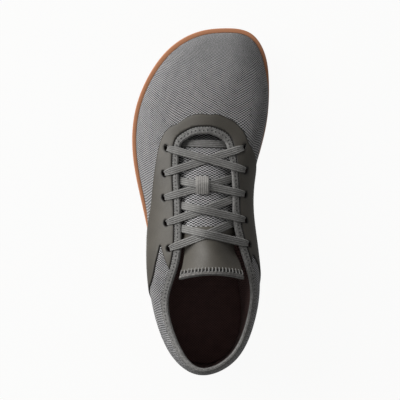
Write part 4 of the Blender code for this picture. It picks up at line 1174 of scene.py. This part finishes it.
def make_tongue(look):
    """The tongue, its smooth patch and its overlocked top edge."""
    lids = [tree_of(bpy.data.objects[name]) for name in ("upper_lining", "collar_tape")]
    sheet = TongueSheet(lids)
    end = sheet.distance[-1] - TONGUE_BINDING_WIDTH
    slab("tongue_knit", sheet, eased(0.0, end + 0.001, 0.001, 0.0012),
         eased(0.0, 1.0, 0.03, 0.02), 0.0, -TONGUE_THICKNESS, 0.0012,
         finish(look, "melange knit"), "knit", ("tongue",))
    patch_start = sheet.distance[int(TONGUE_PATCH_FRONT * (sheet.rows - 1))]
    slab("tongue_panel", sheet, eased(patch_start, end + 0.0005, 0.0008, 0.0012),
         eased(0.015, 0.985, 0.02, 0.02), PATCH_PROUD, -0.0005, PATCH_PROUD,
         finish(look, "smooth overlay"), "smooth_overlay", ("tongue_patch",))
    make_tongue_edge(look, sheet, end)


def make_tongue_edge(look, sheet, end):
    """The rolled edge of the tongue and the threads laid over it."""
    total = sheet.distance[-1]
    slab("tongue_roll", sheet, eased(end, total, 0.0012, 0.0004), eased(0.0, 1.0, 0.02, 0.012),
         ROLL_PROUD, -TONGUE_THICKNESS - ROLL_PROUD, 0.0020, finish(look, "tongue edging"),
         "tape", ("tongue_binding",))
    points, faces = [], []
    size = np.full(OVERLOCK_ROWS, OVERLOCK_RADIUS)
    way = end + np.linspace(-0.0008, 0.0030, OVERLOCK_ROWS)
    lift = 0.0008 + 0.0003 * np.sin(np.linspace(0, math.pi, OVERLOCK_ROWS))
    for side in 0.03 + 0.94 * np.arange(OVERLOCK_COUNT) / (OVERLOCK_COUNT - 1):
        middle = sheet.at(way, side, lift)
        ahead = unit(np.gradient(middle, axis=0))
        aside = unit(sheet.at(total, min(side + 0.01, 1.0)) - sheet.at(total, side - 0.01))
        across = unit(aside - ahead * (ahead @ aside)[:, None])
        add_tube(points, faces, middle, across, np.cross(ahead, across), size * 1.5, size)
    new_piece("tongue_overlock", points, faces, finish(look, "stitch thread"), "tape")


def heights_under(trees, places):
    """Highest surface under each place, or None."""
    found = []
    for x, y in places:
        hits = [tree.ray_cast(Vector((x, y, 0.2)), Vector((0, 0, -1)))[0] for tree in trees]
        heights = [hit.z for hit in hits if hit]
        found.append(max(heights) if heights else -1.0)
    return np.array(found)


def taut(distance, heights):
    """Heights of a line pulled straight over its supports."""
    hull = []
    for place in zip(distance, heights):
        while len(hull) > 1:
            (x1, z1), (x2, z2) = hull[-2:]
            if (z2 - z1) * (place[0] - x1) <= (place[1] - z1) * (x2 - x1):
                hull.pop()
            else:
                break
        hull.append(place)
    return np.interp(distance, [p[0] for p in hull], [p[1] for p in hull])


def softened(values, width):
    """Values of a line, evened out over a few neighbours."""
    kernel = np.hanning(width + 2)[1:-1]
    padded = np.pad(values, width // 2, mode="reflect", reflect_type="odd")
    return np.convolve(padded, kernel / kernel.sum(), mode="valid")


def ribbon_path(start, end, width, trees, hidden, reach=0.0):
    """Distances, directions and the heights under both halves of a strip pulled straight.

    hidden are the trees that carry it over its first stretch, of length reach, where it
    lies under a facing.
    """
    run = end[:2] - start[:2]
    length = np.linalg.norm(run)
    forward = run / length
    aside = np.array([-forward[1], forward[0]])
    count = max(int(length / 0.001), 12)
    distance = np.linspace(0, length, count)
    lines = []
    for side in (-1, 1):
        heights = np.full(count, -1.0)
        for inset in (0.95, 0.5, 0.1):
            places = start[:2] + distance[:, None] * forward + aside * side * inset * width / 2
            over = heights_under(trees, places)
            if reach:
                over = np.where(distance < reach, heights_under(hidden, places), over)
            heights = np.maximum(heights, over)
        known = heights > 0
        lines.append(np.interp(distance, distance[known], heights[known]))
    return distance, forward, aside, lines


def cross_section():
    """Outline of a flat lace of width and thickness one."""
    a = np.linspace(-1, 1, 25)
    half = (1 - np.abs(a) ** 5) ** 0.5 / 2
    top = np.stack((a / 2, half), axis=1)
    return np.concatenate((top, (top * (1, -1))[1:-1][::-1]))


def ribbon(name, centres, asides, widths, curls, thickness, cloth, slot, nodes):
    """A flat strip along a line, of changing width and curl."""
    ahead = unit(np.gradient(centres, axis=0))
    aside = unit(asides - ahead * np.sum(asides * ahead, axis=1, keepdims=True))
    up = np.cross(ahead, aside)
    across, height = cross_section().T
    x = across * widths[:, None]
    z = height * thickness + curls[:, None] * (2 * across) ** 2
    points = centres[:, None] + aside[:, None] * x[..., None] + up[:, None] * z[..., None]
    uv = np.stack(np.broadcast_arrays(way_along(centres)[:, None],
                                      across * LACE_WIDTH * 1.02 + LACE_WIDTH), axis=-1)
    count, size = x.shape
    faces = grid_faces(count, size, False, True)
    faces.append(tuple(range(size)))
    faces.append(tuple(range(count * size - 1, (count - 1) * size - 1, -1)))
    return new_piece(name, points.reshape(-1, 3), faces, cloth, slot, nodes,
                     uv.reshape(-1, 2), sharp=70.0)


def strip_lines(start, distance, forward, aside, width, held):
    """Middle line and sideways steps of a strip, from the heights of its two edges."""
    plan = start[:2] + distance[:, None] * forward
    left = np.concatenate((plan - aside * width / 2, held[0][:, None]), axis=1)
    right = np.concatenate((plan + aside * width / 2, held[1][:, None]), axis=1)
    return (left + right) / 2, right - left


def dive(hole, centres, asides, widths, curls):
    """A strip whose end turns down into a hole, narrowing and curling as it goes in."""
    keep = len(centres) - 2
    last = centres[keep - 1]
    onward = unit(last - centres[keep - 3])
    extra = []
    for k in range(1, DIVE_STEPS + 1):
        turn = min(k / 5, 1.0) * math.pi / 2
        last = last + (onward * math.cos(turn) + hole * math.sin(turn)) * DIVE_STEP
        extra.append(last)
    taper = np.concatenate((np.zeros(keep - 6), np.linspace(0, 1, 9), np.ones(6)))
    taper = taper * taper * (3 - 2 * taper)
    centres = np.concatenate((centres[:keep], extra))
    asides = np.concatenate((asides[:keep], np.repeat(asides[keep - 1:keep], DIVE_STEPS, axis=0)))
    widths = np.concatenate((widths[:keep], np.full(DIVE_STEPS, LACE_WIDTH)))
    curls = np.concatenate((curls[:keep], np.zeros(DIVE_STEPS)))
    return centres, asides, widths * (1 - DIVE_NARROWING * taper), curls + DIVE_CURL * taper


def lace_strip(name, look, start, end, trees, hidden, start_hole=None, end_hole=None, nodes=()):
    """One strip of the lace; at a hole it dives in, and elsewhere it runs under a facing.

    start and end are points in space; start_hole and end_hole are the inward direction of
    an eyelet there, or None.
    """
    first = LACE_HIDDEN if start_hole is None else 0.0
    distance, forward, aside, lines = ribbon_path(start, end, LACE_WIDTH, trees, hidden, first)
    if end_hole is None:
        plan = start[:2] + distance[:, None] * forward
        for k, side in enumerate((-1, 1)):
            low = heights_under(hidden, plan + aside * side * 0.25 * LACE_WIDTH)
            lines[k] = np.where(distance > distance[-1] - LACE_HIDDEN, low, lines[k])
    lift = LACE_THICKNESS / 2 + LACE_CLEARANCE
    near_hole = EYELET_DIAMETER / 2 + HOLE_ROOM
    held = []
    for line in lines:
        heights = line + lift
        if start_hole is not None:
            heights = np.where(distance < near_hole, start[2] + lift * 0.4, heights)
        if end_hole is not None:
            heights = np.where(distance > distance[-1] - near_hole, end[2] + lift * 0.4, heights)
        held.append(softened(taut(distance, heights), 5))
    centres, asides = strip_lines(start, distance, forward, aside, LACE_WIDTH, held)
    asides[:, 2] *= LACE_BANK
    lines = centres, asides, np.full(len(centres), LACE_WIDTH), np.zeros(len(centres))
    for hole, order in ((start_hole, slice(None, None, -1)), (end_hole, slice(None))):
        if hole is not None:
            lines = [v[order] for v in dive(hole, *[v[order] for v in lines])]
    return ribbon(name, *lines, LACE_THICKNESS, finish(look, "flat lace"), "lace", nodes)


def make_lace(look):
    """The lace: a bar under the first eyelets and four crossings, and the keeper."""
    carrying = [tree_of(bpy.data.objects[name]) for name in (
        "tongue_knit", "tongue_panel", "collar_tape", "eyestay_overlay")]
    soft = carrying[:2]
    forward = np.array([0, BAR_FORWARD, 0])
    bar = lace_strip("lace_run_0", look, throat_edge(OUTER[0], -BAR_UNDER) + forward,
                     throat_edge(INNER[0], -BAR_UNDER) + forward, soft, soft,
                     nodes=("lace_bar",))
    trees = carrying + [tree_of(bar)]
    for row in range(len(OUTER) - 2, -1, -1):
        for order, (starts, ends) in enumerate(((INNER, OUTER), (OUTER, INNER))):
            end, end_hole = eyelet_mouth(ends[row + 1])
            start, start_hole = throat_edge(starts[row], -LACE_UNDER), None
            if row == 0:
                start, start_hole = eyelet_mouth(starts[row])
            nodes = ("lace_cross_%d" % (row + 1),) if order == 0 else ()
            strip = lace_strip("lace_run_%d_%s" % (row + 1, "ab"[order]), look, start, end,
                               trees, soft, start_hole, end_hole, nodes)
            trees = trees + [tree_of(strip)]
    make_keeper(look, trees)


def eyelet_mouth(place):
    """Middle of an eyelet on the overlay, and the direction in through it."""
    return eyelet(place, OVERLAY_THICKNESS), unit(eyelet(place, 0.0) - eyelet(place, 0.01))


def make_keeper(look, trees):
    """The webbing loop that holds the second crossing down on the tongue."""
    corners = [eyelet(place, 0.0) for place in OUTER[1:3] + INNER[1:3]]
    middle = sum(corners) / len(corners) + np.array([KEEPER_ACROSS, KEEPER_ALONG, 0.0])
    reach = np.array([0, KEEPER_LENGTH / 2, 0])
    start = middle + reach
    distance, forward, aside, lines = ribbon_path(start, middle - reach, KEEPER_WIDTH, trees,
                                                  trees)
    held = [softened(taut(distance, line + KEEPER_CLEARANCE), 5) for line in lines]
    centres, asides = strip_lines(start, distance, forward, aside, KEEPER_WIDTH, held)
    ribbon("keeper_loop", centres, asides, np.full(len(centres), KEEPER_WIDTH),
           np.zeros(len(centres)), KEEPER_THICKNESS, finish(look, "webbing"), "tape",
           ("lace_keeper",))


def clip(polygon, point, normal):
    """The part of a convex polygon behind a line."""
    kept = []
    for a, b in zip(polygon, polygon[1:] + polygon[:1]):
        side_a, side_b = (a - point).dot(normal), (b - point).dot(normal)
        if side_a <= 0:
            kept.append(a)
        if (side_a < 0 < side_b) or (side_b < 0 < side_a):
            kept.append(a.lerp(b, side_a / (side_a - side_b)))
    return kept


def polygon_area(polygon):
    """Area of a polygon of vectors, positive counter-clockwise."""
    return sum(a.x * b.y - b.x * a.y for a, b in zip(polygon, polygon[1:] + polygon[:1])) / 2


def inset(polygon, distance):
    """A convex counter-clockwise polygon with each side moved in by a distance."""
    kept = list(polygon)
    for a, b in zip(polygon, polygon[1:] + polygon[:1]):
        step = b - a
        if step.length < 1e-7 or not kept:
            continue
        outward = Vector((step.y, -step.x)).normalized()
        kept = clip(kept, a - outward * distance, outward)
    clean = []
    for p in kept:
        if not clean or (p - clean[-1]).length > 1e-6:
            clean.append(p)
    if len(clean) > 1 and (clean[0] - clean[-1]).length < 1e-6:
        clean.pop()
    return clean if len(clean) > 2 else []


def pad_line(line, x):
    """Place along the shoe of a pad's border line at x."""
    rows = sorted((across * BALL_WIDTH, along(share)) for across, share in line)
    return float(np.interp(x, [row[0] for row in rows], [row[1] for row in rows]))


def plate_outline():
    """The plain arch plate: a fin with pointed ends and a corner on its inner side."""
    middle = Vector((PLATE_ACROSS * BALL_WIDTH, along(PLATE_ALONG)))
    lengthways = Vector((-math.sin(PLATE_SLANT), math.cos(PLATE_SLANT)))
    sideways = Vector((lengthways.y, -lengthways.x))
    return [middle + lengthways * share * PLATE_LENGTH / 2 + sideways * across * PLATE_WIDTH / 2
            for share, across in PLATE]


def fences_of(points):
    """Stretches of a line with the direction to the left of each."""
    return [(a, b, Vector((a.y - b.y, b.x - a.x)).normalized())
            for a, b in zip(points, points[1:])]


def tread_blocks(edge):
    """Outlines of the tread blocks: tapered, pointing up and down in turn."""
    plate = plate_outline()
    edge_array, plate_array = as_array(edge), as_array(plate)
    fences = fences_of(edge[::4] + edge[:1])
    for line, side in ((TOE_PAD, 1), (HEEL_PAD, -1)):
        border = [Vector((across * BALL_WIDTH, along(share))) for across, share in line]
        fences += [(a, b, outward if outward.y * side > 0 else -outward)
                   for a, b, outward in fences_of(border)]
    plate_fences = fences_of(plate + plate[:1])
    forward = Vector((-math.sin(BLOCK_SLANT), math.cos(BLOCK_SLANT)))
    sideways = Vector((forward.y, -forward.x))
    tall = BLOCK_ROW - BLOCK_GROOVE
    base = BLOCK_PITCH - BLOCK_TIP - 2 * BLOCK_GROOVE
    rows = int(SOLE_LENGTH / BLOCK_ROW / 2) + 2
    places = int(BALL_WIDTH / BLOCK_PITCH) + 3
    blocks = []
    for row in range(-rows, rows + 1):
        for place in range(-places, places + 1):
            up = 1 if place % 2 else -1
            middle = forward * row * BLOCK_ROW + sideways * place * BLOCK_PITCH / 2
            block = [middle + sideways * x / 2 + forward * y * tall / 2 * up
                     for x, y in ((-base, -1), (base, -1), (BLOCK_TIP, 1), (-BLOCK_TIP, 1))]
            if up < 0:
                block = block[::-1]
            for a, b, outward in fences:
                if block and near(middle, a, b) < BLOCK_ROW:
                    block = clip(block, a - outward * BLOCK_GROOVE, outward)
            a, b, outward = min(plate_fences, key=lambda f: near(middle, f[0], f[1]))
            if block and near(middle, a, b) < BLOCK_ROW:
                block = clip(block, a + outward * BLOCK_GROOVE, -outward)
            block = [p for k, p in enumerate(block) if (p - block[k - 1]).length > SHORTEST_SIDE]
            if len(block) < 3 or abs(polygon_area(block)) < SMALLEST_BLOCK:
                continue
            array = as_array(block)
            if not in_outline(array, edge_array).all() or in_outline(array, plate_array).any():
                continue
            if all(pad_line(HEEL_PAD, p.x) < p.y < pad_line(TOE_PAD, p.x) for p in block):
                blocks.append(block)
    return blocks, plate


def near(point, a, b):
    """Distance from a point to a stretch of line."""
    step = b - a
    t = max(0.0, min(1.0, (point - a).dot(step) / step.length_squared))
    return (point - a - step * t).length


def pad_bands(edge):
    """Raised bands of the toe and heel pads, between wavy grooves."""
    bands = []
    edge = as_array(edge)
    ring = inner_edge(edge, BLOCK_GROOVE)
    x = np.linspace(edge[:, 0].min(), edge[:, 0].max(), 150)
    for line, side, pitch, wave in PADS:
        smooth = softened(np.array([pad_line(line, value) for value in x]), 25)
        for k in range(12):
            rim = []
            for level in (k, k + 1):
                y = smooth + side * (BLOCK_GROOVE + level * pitch)
                rim.append(y + wave * np.sin(x * 2 * math.pi / WAVE_LENGTH + level) * (level > 0))
            low = rim[0] if side > 0 else rim[1] + PAD_GROOVE
            high = rim[1] - PAD_GROOVE if side > 0 else rim[0]
            bottom, top = np.stack((x, low), axis=1), np.stack((x, high), axis=1)
            if max(in_outline(bottom, ring).sum(), in_outline(top, ring).sum()) < FEWEST_POINTS:
                continue
            bands += clip_band(bottom, top, ring)
    return bands


def inner_edge(edge, distance):
    """The sole's flat edge moved in by a distance."""
    return edge - quarter_turn(np.roll(edge, -1, axis=0) - np.roll(edge, 1, axis=0)) * distance


def clip_band(bottom, top, ring):
    """Outline of the part of a band that lies inside the sole, in a list, or an empty list."""
    lower, upper = [], []
    a, b = ring, np.roll(ring, -1, axis=0)
    for (x, low), high in zip(bottom, top[:, 1]):
        hit = (a[:, 0] > x) != (b[:, 0] > x)
        crossings = [ay + (x - ax) / (bx - ax) * (by - ay)
                     for (ax, ay), (bx, by) in zip(a[hit], b[hit])]
        if len(crossings) < 2:
            continue
        low, high = max(low, min(crossings)), min(high, max(crossings))
        if high - low > SHORTEST_SIDE:
            lower.append(Vector((x, low)))
            upper.append(Vector((x, high)))
    return [lower + upper[::-1]] if len(lower) >= FEWEST_POINTS else []


def make_sole(look):
    """The gum cup sole: rim, rounded side and the tread with its blocks and pads."""
    columns = 480
    u = np.arange(columns) / columns
    edge, outward = edge_line(u)
    lift = spring(edge[:, 1])
    foot = SKIN.at(u, 0.0) - SHIFT
    rim = SKIN.at(u, SKIN.value(SKIN.rims, u)) - SHIFT
    top = rim[:, 2]

    def level(place, z):
        return np.concatenate((place, z[:, None]), axis=1)

    rings = [level(foot[:, :2] + outward * GAP, FOOTBED + spring(foot[:, 1]))]
    inner = rim[:, :2] + outward * GAP * 0.5
    for out, down in RIM_LIP:
        rings.append(level(inner + outward * out, top - down))
    for turn in np.linspace(0, math.pi / 2, 5):
        rings.append(level(edge - outward * RIM_ROUND * (1 - math.sin(turn)),
                           top - RIM_ROUND * (1 - math.cos(turn))))
    waist = FOOTBED + lift - SOLE_WAIST
    ground = TREAD_DEPTH + lift
    for t in (0.2, 0.4, 0.6, 0.8):
        rings.append(level(edge - outward * SIDE_HOLLOW * math.sin(math.pi * t),
                           (top - RIM_ROUND) * (1 - t) + waist * t))
    for turn in np.linspace(0, math.pi / 2, 9):
        rings.append(level(edge - outward * SOLE_ROUNDING * (1 - math.cos(turn)),
                           ground + (waist - ground) * (1 - math.sin(turn))))
    points = [Vector(p) for line in rings for p in line]
    # Painted shade of each point, 0 to 1: none on the rim and the side, full on the tread's
    # floor.
    groove = [0.0] * len(points)
    side_rings = len(rings) - 4
    faces = grid_faces(len(rings), columns, False, True)

    inner_ring, base = ([Vector(p[:2]) for p in line] for line in (rings[0], rings[-1]))
    around = list(range(columns))[::-1]
    faces += [tuple(face) for face in delaunay_2d_cdt(inner_ring, [], [around], 1, 1e-7)[2]]
    blocks, plate = tread_blocks(base)
    shapes = [s if polygon_area(s) > 0 else s[::-1] for s in blocks + [plate] + pad_bands(base)]
    flat, outlines = list(base), [around]
    for shape in shapes:
        outlines.append(list(range(len(flat), len(flat) + len(shape))))
        flat += shape
    found, _, cells, origins, _, sources = delaunay_2d_cdt(flat, [], outlines, 1, 1e-7)
    number, of_flat = {}, {}
    for i, place in enumerate(found):
        if origins[i] and min(origins[i]) < columns:
            number[i] = (len(rings) - 1) * columns + min(origins[i])
        else:
            number[i] = len(points)
            points.append(Vector((place.x, place.y, TREAD_DEPTH + float(spring(place.y)))))
            groove.append(1.0)
        for origin in origins[i]:
            of_flat[origin] = number[i]
    for cell, source in zip(cells, sources):
        if max(source) == 0:
            faces.append(tuple(number[i] for i in cell))
    first = columns
    for index, shape in enumerate(shapes):
        numbers = [of_flat[first + k] for k in range(len(shape))]
        first += len(shape)
        raise_block(points, groove, faces, shape, numbers, index < len(blocks))
    array = as_array(points) + SHIFT
    side = np.zeros(len(points))
    side[:side_rings * columns] = 1.0
    new_piece("gum_sole", array, faces, finish(look, "gum rubber"), "gum_rubber", ("outsole",),
              sharp=38.0, attributes=[("groove", groove), ("side", side)])


def ring_faces(below, above):
    """Quads between two rings of point numbers."""
    return [(below[k - 1], below[k], above[k], above[k - 1]) for k in range(len(above))]


def raise_block(points, groove, faces, shape, numbers, recess):
    """Raise one block of the tread from its outline, with a soft edge and a recess; each new
    point gets its share of painted shade.
    """
    def add(place, z, painted_shade):
        points.append(Vector((place.x, place.y, z + float(spring(place.y)))))
        groove.append(painted_shade)
        return len(points) - 1

    def moved(distance):
        line = []
        count = len(shape)
        for k, p in enumerate(shape):
            a = (p - shape[k - 1]).normalized()
            b = (shape[(k + 1) % count] - p).normalized()
            turn = Vector((-a.y - b.y, a.x + b.x))
            line.append(p + turn / max(turn.length_squared / 2, 0.35) * distance)
        return line

    below = numbers
    for distance, z, painted_shade in BLOCK_EDGE:
        line = moved(distance)
        ring = [add(p, z, painted_shade) for p in line]
        faces += ring_faces(below, ring)
        below = ring
    count = len(line)
    hollow = inset(line, HOLLOW_INSET) if recess else []
    if hollow and polygon_area(hollow) > SMALLEST_HOLLOW:
        outlines = [list(range(count)), list(range(count, count + len(hollow)))]
        found, _, cells, origins, _, sources = delaunay_2d_cdt(line + hollow, [], outlines, 1,
                                                               1e-8)
        numbers = {}
        rim = [None] * len(hollow)
        for i, place in enumerate(found):
            own = min(origins[i]) if origins[i] else -1
            numbers[i] = below[own] if 0 <= own < count else add(place, 0.0, 0.0)
            for origin in origins[i]:
                if origin >= count:
                    rim[origin - count] = numbers[i]
        faces += [tuple(numbers[i] for i in cell) for cell, source in zip(cells, sources)
                  if source and max(source) == 0]
        # The floor of the recess is darkened with painted shade.
        floor = [add(p, HOLLOW_DEPTH, 0.9) for p in (inset(hollow, 0.0002) or hollow)]
        if len(floor) == len(rim) and None not in rim:
            faces += ring_faces(rim, floor)
            faces.append(tuple(floor))
        else:
            faces.append(tuple(r for r in rim if r is not None))
        return
    if count > 12:
        cells = delaunay_2d_cdt(line, [], [list(range(count))], 1, 1e-8)
        if len(cells[0]) == count:
            faces += [tuple(below[i] for i in cell) for cell in cells[2]]
            return
    faces.append(tuple(below))


def make_insole(look):
    """The footbed inside the upper."""
    columns = 240
    u = np.arange(columns) / columns
    base = FOOTBED + GAP
    rings = []
    for height, inwards in ((0.0, 0.0003), (0.0004, 0.0), (INSOLE_THICKNESS - 0.0008, 0.0),
                            (INSOLE_THICKNESS - 0.0002, 0.0003), (INSOLE_THICKNESS, 0.0010)):
        share = SKIN.value(SKIN.rims, u) * height / CUP_DEPTH
        point = SKIN.at(u, share)
        normal = unit((SKIN.at(u, share, 1.0) - point)[:, :2])
        place = point[:, :2] - normal * (WALL + INSOLE_CLEARANCE + inwards)
        z = base + spring(place[:, 1] - SHIFT[1]) + height
        rings.append(np.concatenate((place, z[:, None]), axis=1))
    points = [tuple(p) for line in rings for p in line]
    faces = grid_faces(len(rings), columns, False, True)
    last = (len(rings) - 1) * columns
    flat = [Vector((p[0], p[1])) for p in rings[-1]]
    grid = np.array([(x, y) for x in np.arange(-0.056, 0.056, 0.004)
                     for y in np.arange(-0.14, 0.14, 0.004)])
    grid = grid[in_outline(grid, inner_edge(rings[-1][:, :2], 0.002))]
    found, _, cells, origins, _, _ = delaunay_2d_cdt(
        flat + [Vector(p) for p in grid], [], [list(range(columns))[::-1]], 1, 1e-7)
    number = {}
    for i, place in enumerate(found):
        own = min(origins[i]) if origins[i] else columns
        if own < columns:
            number[i] = last + own
        else:
            number[i] = len(points)
            z = base + float(spring(place.y - SHIFT[1])) + INSOLE_THICKNESS
            points.append((place.x, place.y, z))
    faces += [tuple(number[i] for i in cell) for cell in cells]
    faces.append(tuple(range(columns)))
    array = np.array(points)
    new_piece("footbed", array, faces, finish(look, "mesh lining"), "lining", ("insole",),
              array[:, :2])


def floor_material(colour):
    """White floor, bright to the eye, that can be seen through from below."""
    made, nodes, shader = new_material("pale floor")
    grain = nodes.noise(place_map(nodes), 3.0, 2.0)
    tone = nodes.mix(nodes.spread(grain, 0.3, 0.7), shade(colour, 0.985), shade(colour, 1.0))
    nodes.feed_all(shader, {"Base Color": tone, "Roughness": 0.9, "Specular IOR Level": 0.1})
    glow = nodes.add("ShaderNodeEmission", {"Color": (1.0, 1.0, 0.995, 1.0)}).outputs[0]
    bright = nodes.add("ShaderNodeMixShader", {0: FLOOR_GLOW, 1: shader.outputs[0],
                                                2: glow})
    seen = nodes.add("ShaderNodeLightPath").outputs["Is Camera Ray"]
    behind = nodes.add("ShaderNodeNewGeometry").outputs["Backfacing"]
    clear = nodes.add("ShaderNodeBsdfTransparent").outputs[0]
    both = nodes.add("ShaderNodeMixShader", {0: nodes.math("GREATER_THAN", seen, behind),
                                             1: clear, 2: bright.outputs[0]})
    nodes.feed(made.node_tree.nodes["Material Output"].inputs["Surface"], both.outputs[0])
    return made


def make_stage(studio):
    """A pale floor, soft light and the camera over the shoe."""
    work = bmesh.new()
    bmesh.ops.create_grid(work, x_segments=8, y_segments=8, size=studio.floor_size)
    mesh = bpy.data.meshes.new("floor")
    work.to_mesh(mesh)
    work.free()
    mesh.materials.append(floor_material(studio.floor))
    floor = new_object("floor", mesh)
    floor.location.z = -FLOOR_GAP

    world = bpy.data.worlds.new("studio")
    bpy.context.scene.world = world
    world.use_nodes = True
    back = world.node_tree.nodes["Background"]
    back.inputs["Color"].default_value = (1.0, 1.0, 1.0, 1.0)
    back.inputs["Strength"].default_value = studio.fill

    for name, place, width, height, power in (
            ("key", KEY_PLACE, KEY_WIDTH, KEY_HEIGHT, studio.key),
            ("under", UNDER_PLACE, UNDER_WIDTH, UNDER_WIDTH, studio.under)):
        data = bpy.data.lights.new(name, "AREA")
        data.shape = "RECTANGLE"
        data.size, data.size_y = width, height
        data.energy = power
        lamp = new_object(name, data)
        lamp.location = place
        lamp.rotation_euler = (-Vector(place)).to_track_quat("-Z", "Y").to_euler()

    data = bpy.data.cameras.new("view")
    data.sensor_width = 36.0
    data.lens = studio.lens
    camera = new_object("view", data)
    camera.location = (CAMERA_ACROSS, 0.0, CAMERA_HEIGHT)
    camera.rotation_euler = (0.0, math.atan2(CAMERA_ACROSS, CAMERA_HEIGHT), 0.0)
    data.clip_start, data.clip_end = 0.05, 20.0
    bpy.context.scene.camera = camera
    settings = bpy.context.scene.view_settings
    settings.view_transform = "Standard"
    settings.look = "None"


def colour_property(name, text, value):
    """A colour that a user may change."""
    return FloatVectorProperty(name=name, description=text, default=value, size=3, min=0.0,
                               max=1.0, subtype="COLOR")


class ShoeLook(bpy.types.PropertyGroup):
    """Colours and yarn sizes of the shoe."""

    knit: colour_property("Knit", "Mean colour of the knitted upper", (0.166, 0.165, 0.166))
    smooth: colour_property("Overlay", "Colour of the smooth overlay", (0.062, 0.056, 0.046))
    tape: colour_property("Tape", "Colour of the knitted tape", (0.200, 0.196, 0.188))
    edging: colour_property("Tongue edging", "Colour of the tongue's edge", (0.175, 0.168, 0.160))
    lining: colour_property("Lining", "Colour of the lining", (0.160, 0.090, 0.082))
    lace: colour_property("Lace", "Colour of the lace", (0.215, 0.211, 0.202))
    webbing: colour_property("Webbing", "Colour of the lace keeper", (0.28, 0.27, 0.255))
    thread: colour_property("Thread", "Colour of the stitches", (0.17, 0.165, 0.158))
    gum: colour_property("Gum", "Colour of the sole's tread", (0.58, 0.115, 0.030))
    gum_rim: colour_property("Gum rim", "Colour of the sole's rim", (0.46, 0.200, 0.100))
    # Painted shade: the colour the tread is darkened to down in its grooves.
    gum_groove_shade: colour_property("Gum grooves", "Colour down in the tread", (0.34, 0.035, 0.006))
    wale: FloatProperty(name="Wale", description="Width of one knitted loop", default=0.0019,
                        min=0.0004, max=0.005, unit="LENGTH", precision=4)
    course: FloatProperty(name="Course", description="Height of one knitted loop",
                          default=0.00105, min=0.0004, max=0.005, unit="LENGTH", precision=4)


class ShoeStudio(bpy.types.PropertyGroup):
    """Floor, light and lens that show the shoe."""

    floor: colour_property("Floor", "Colour of the floor", (0.6, 0.6, 0.6))
    floor_size: FloatProperty(name="Floor size", description="Half of the floor's width",
                              default=2.5, min=0.5, max=20.0, unit="LENGTH")
    fill: FloatProperty(name="Fill light", description="Strength of the light all round",
                        default=0.275, min=0.0, max=5.0)
    key: FloatProperty(name="Key light", description="Power of the main lamp in watts",
                       default=84.0, min=0.0, max=1000.0)
    under: FloatProperty(name="Under light", description="Power in watts of the lamp below",
                         default=9.0, min=0.0, max=1000.0)
    lens: FloatProperty(name="Lens", description="Focal length of the camera",
                        default=137.2, min=20.0, max=300.0, unit="CAMERA")


class SHOE_OT_upper(bpy.types.Operator):
    """Make the knitted upper and its lining"""

    bl_idname = "shoe.upper"
    bl_label = "Knitted Upper"

    def execute(self, context):
        make_upper(context.scene.shoe_look)
        return {"FINISHED"}


class SHOE_OT_binding(bpy.types.Operator):
    """Make the tape round the throat and the collar"""

    bl_idname = "shoe.binding"
    bl_label = "Collar Tape"

    def execute(self, context):
        make_binding(context.scene.shoe_look)
        return {"FINISHED"}


class SHOE_OT_overlay(bpy.types.Operator):
    """Make the smooth overlay with its eyelet holes"""

    bl_idname = "shoe.overlay"
    bl_label = "Smooth Overlay"

    def execute(self, context):
        make_overlay(context.scene.shoe_look)
        return {"FINISHED"}


class SHOE_OT_tongue(bpy.types.Operator):
    """Make the tongue with its panel and overlocked edge"""

    bl_idname = "shoe.tongue"
    bl_label = "Tongue"

    def execute(self, context):
        make_tongue(context.scene.shoe_look)
        return {"FINISHED"}


class SHOE_OT_lace(bpy.types.Operator):
    """Lace the shoe and add the keeper"""

    bl_idname = "shoe.lace"
    bl_label = "Lace"

    def execute(self, context):
        make_lace(context.scene.shoe_look)
        return {"FINISHED"}


class SHOE_OT_sole(bpy.types.Operator):
    """Make the gum sole with its tread"""

    bl_idname = "shoe.sole"
    bl_label = "Gum Sole"

    def execute(self, context):
        make_sole(context.scene.shoe_look)
        return {"FINISHED"}


class SHOE_OT_insole(bpy.types.Operator):
    """Make the footbed"""

    bl_idname = "shoe.insole"
    bl_label = "Footbed"

    def execute(self, context):
        make_insole(context.scene.shoe_look)
        return {"FINISHED"}


class SHOE_OT_stage(bpy.types.Operator):
    """Set up the floor, the light and the camera"""

    bl_idname = "shoe.stage"
    bl_label = "Stage"

    def execute(self, context):
        make_stage(context.scene.shoe_studio)
        return {"FINISHED"}


STEPS = [SHOE_OT_upper, SHOE_OT_binding, SHOE_OT_overlay, SHOE_OT_tongue, SHOE_OT_lace,
         SHOE_OT_sole, SHOE_OT_insole, SHOE_OT_stage]


class SHOE_PT_panel(bpy.types.Panel):
    """Lists the steps and the looks of the shoe"""

    bl_idname = "SHOE_PT_panel"
    bl_label = "Barefoot Shoe"
    bl_space_type = "VIEW_3D"
    bl_region_type = "UI"
    bl_category = "Shoe"

    def draw(self, context):
        column = self.layout.column(align=True)
        for group in (context.scene.shoe_look, context.scene.shoe_studio):
            for name in group.__annotations__:
                column.prop(group, name)
            column.separator()
        for step in STEPS:
            column.operator(step.bl_idname)


CLASSES = [ShoeLook, ShoeStudio] + STEPS + [SHOE_PT_panel]


def register():
    """Make the classes and the two groups of settings known."""
    for entry in CLASSES:
        bpy.utils.register_class(entry)
    bpy.types.Scene.shoe_look = PointerProperty(type=ShoeLook)
    bpy.types.Scene.shoe_studio = PointerProperty(type=ShoeStudio)


def unregister():
    """Take them away again."""
    del bpy.types.Scene.shoe_studio
    del bpy.types.Scene.shoe_look
    for entry in reversed(CLASSES):
        bpy.utils.unregister_class(entry)


def main():
    """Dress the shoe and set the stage."""
    register()
    bpy.ops.shoe.upper()
    bpy.ops.shoe.binding()
    bpy.ops.shoe.overlay()
    bpy.ops.shoe.tongue()
    bpy.ops.shoe.lace()
    bpy.ops.shoe.sole()
    bpy.ops.shoe.insole()
    bpy.ops.shoe.stage()


if __name__ == "__main__":
    main()
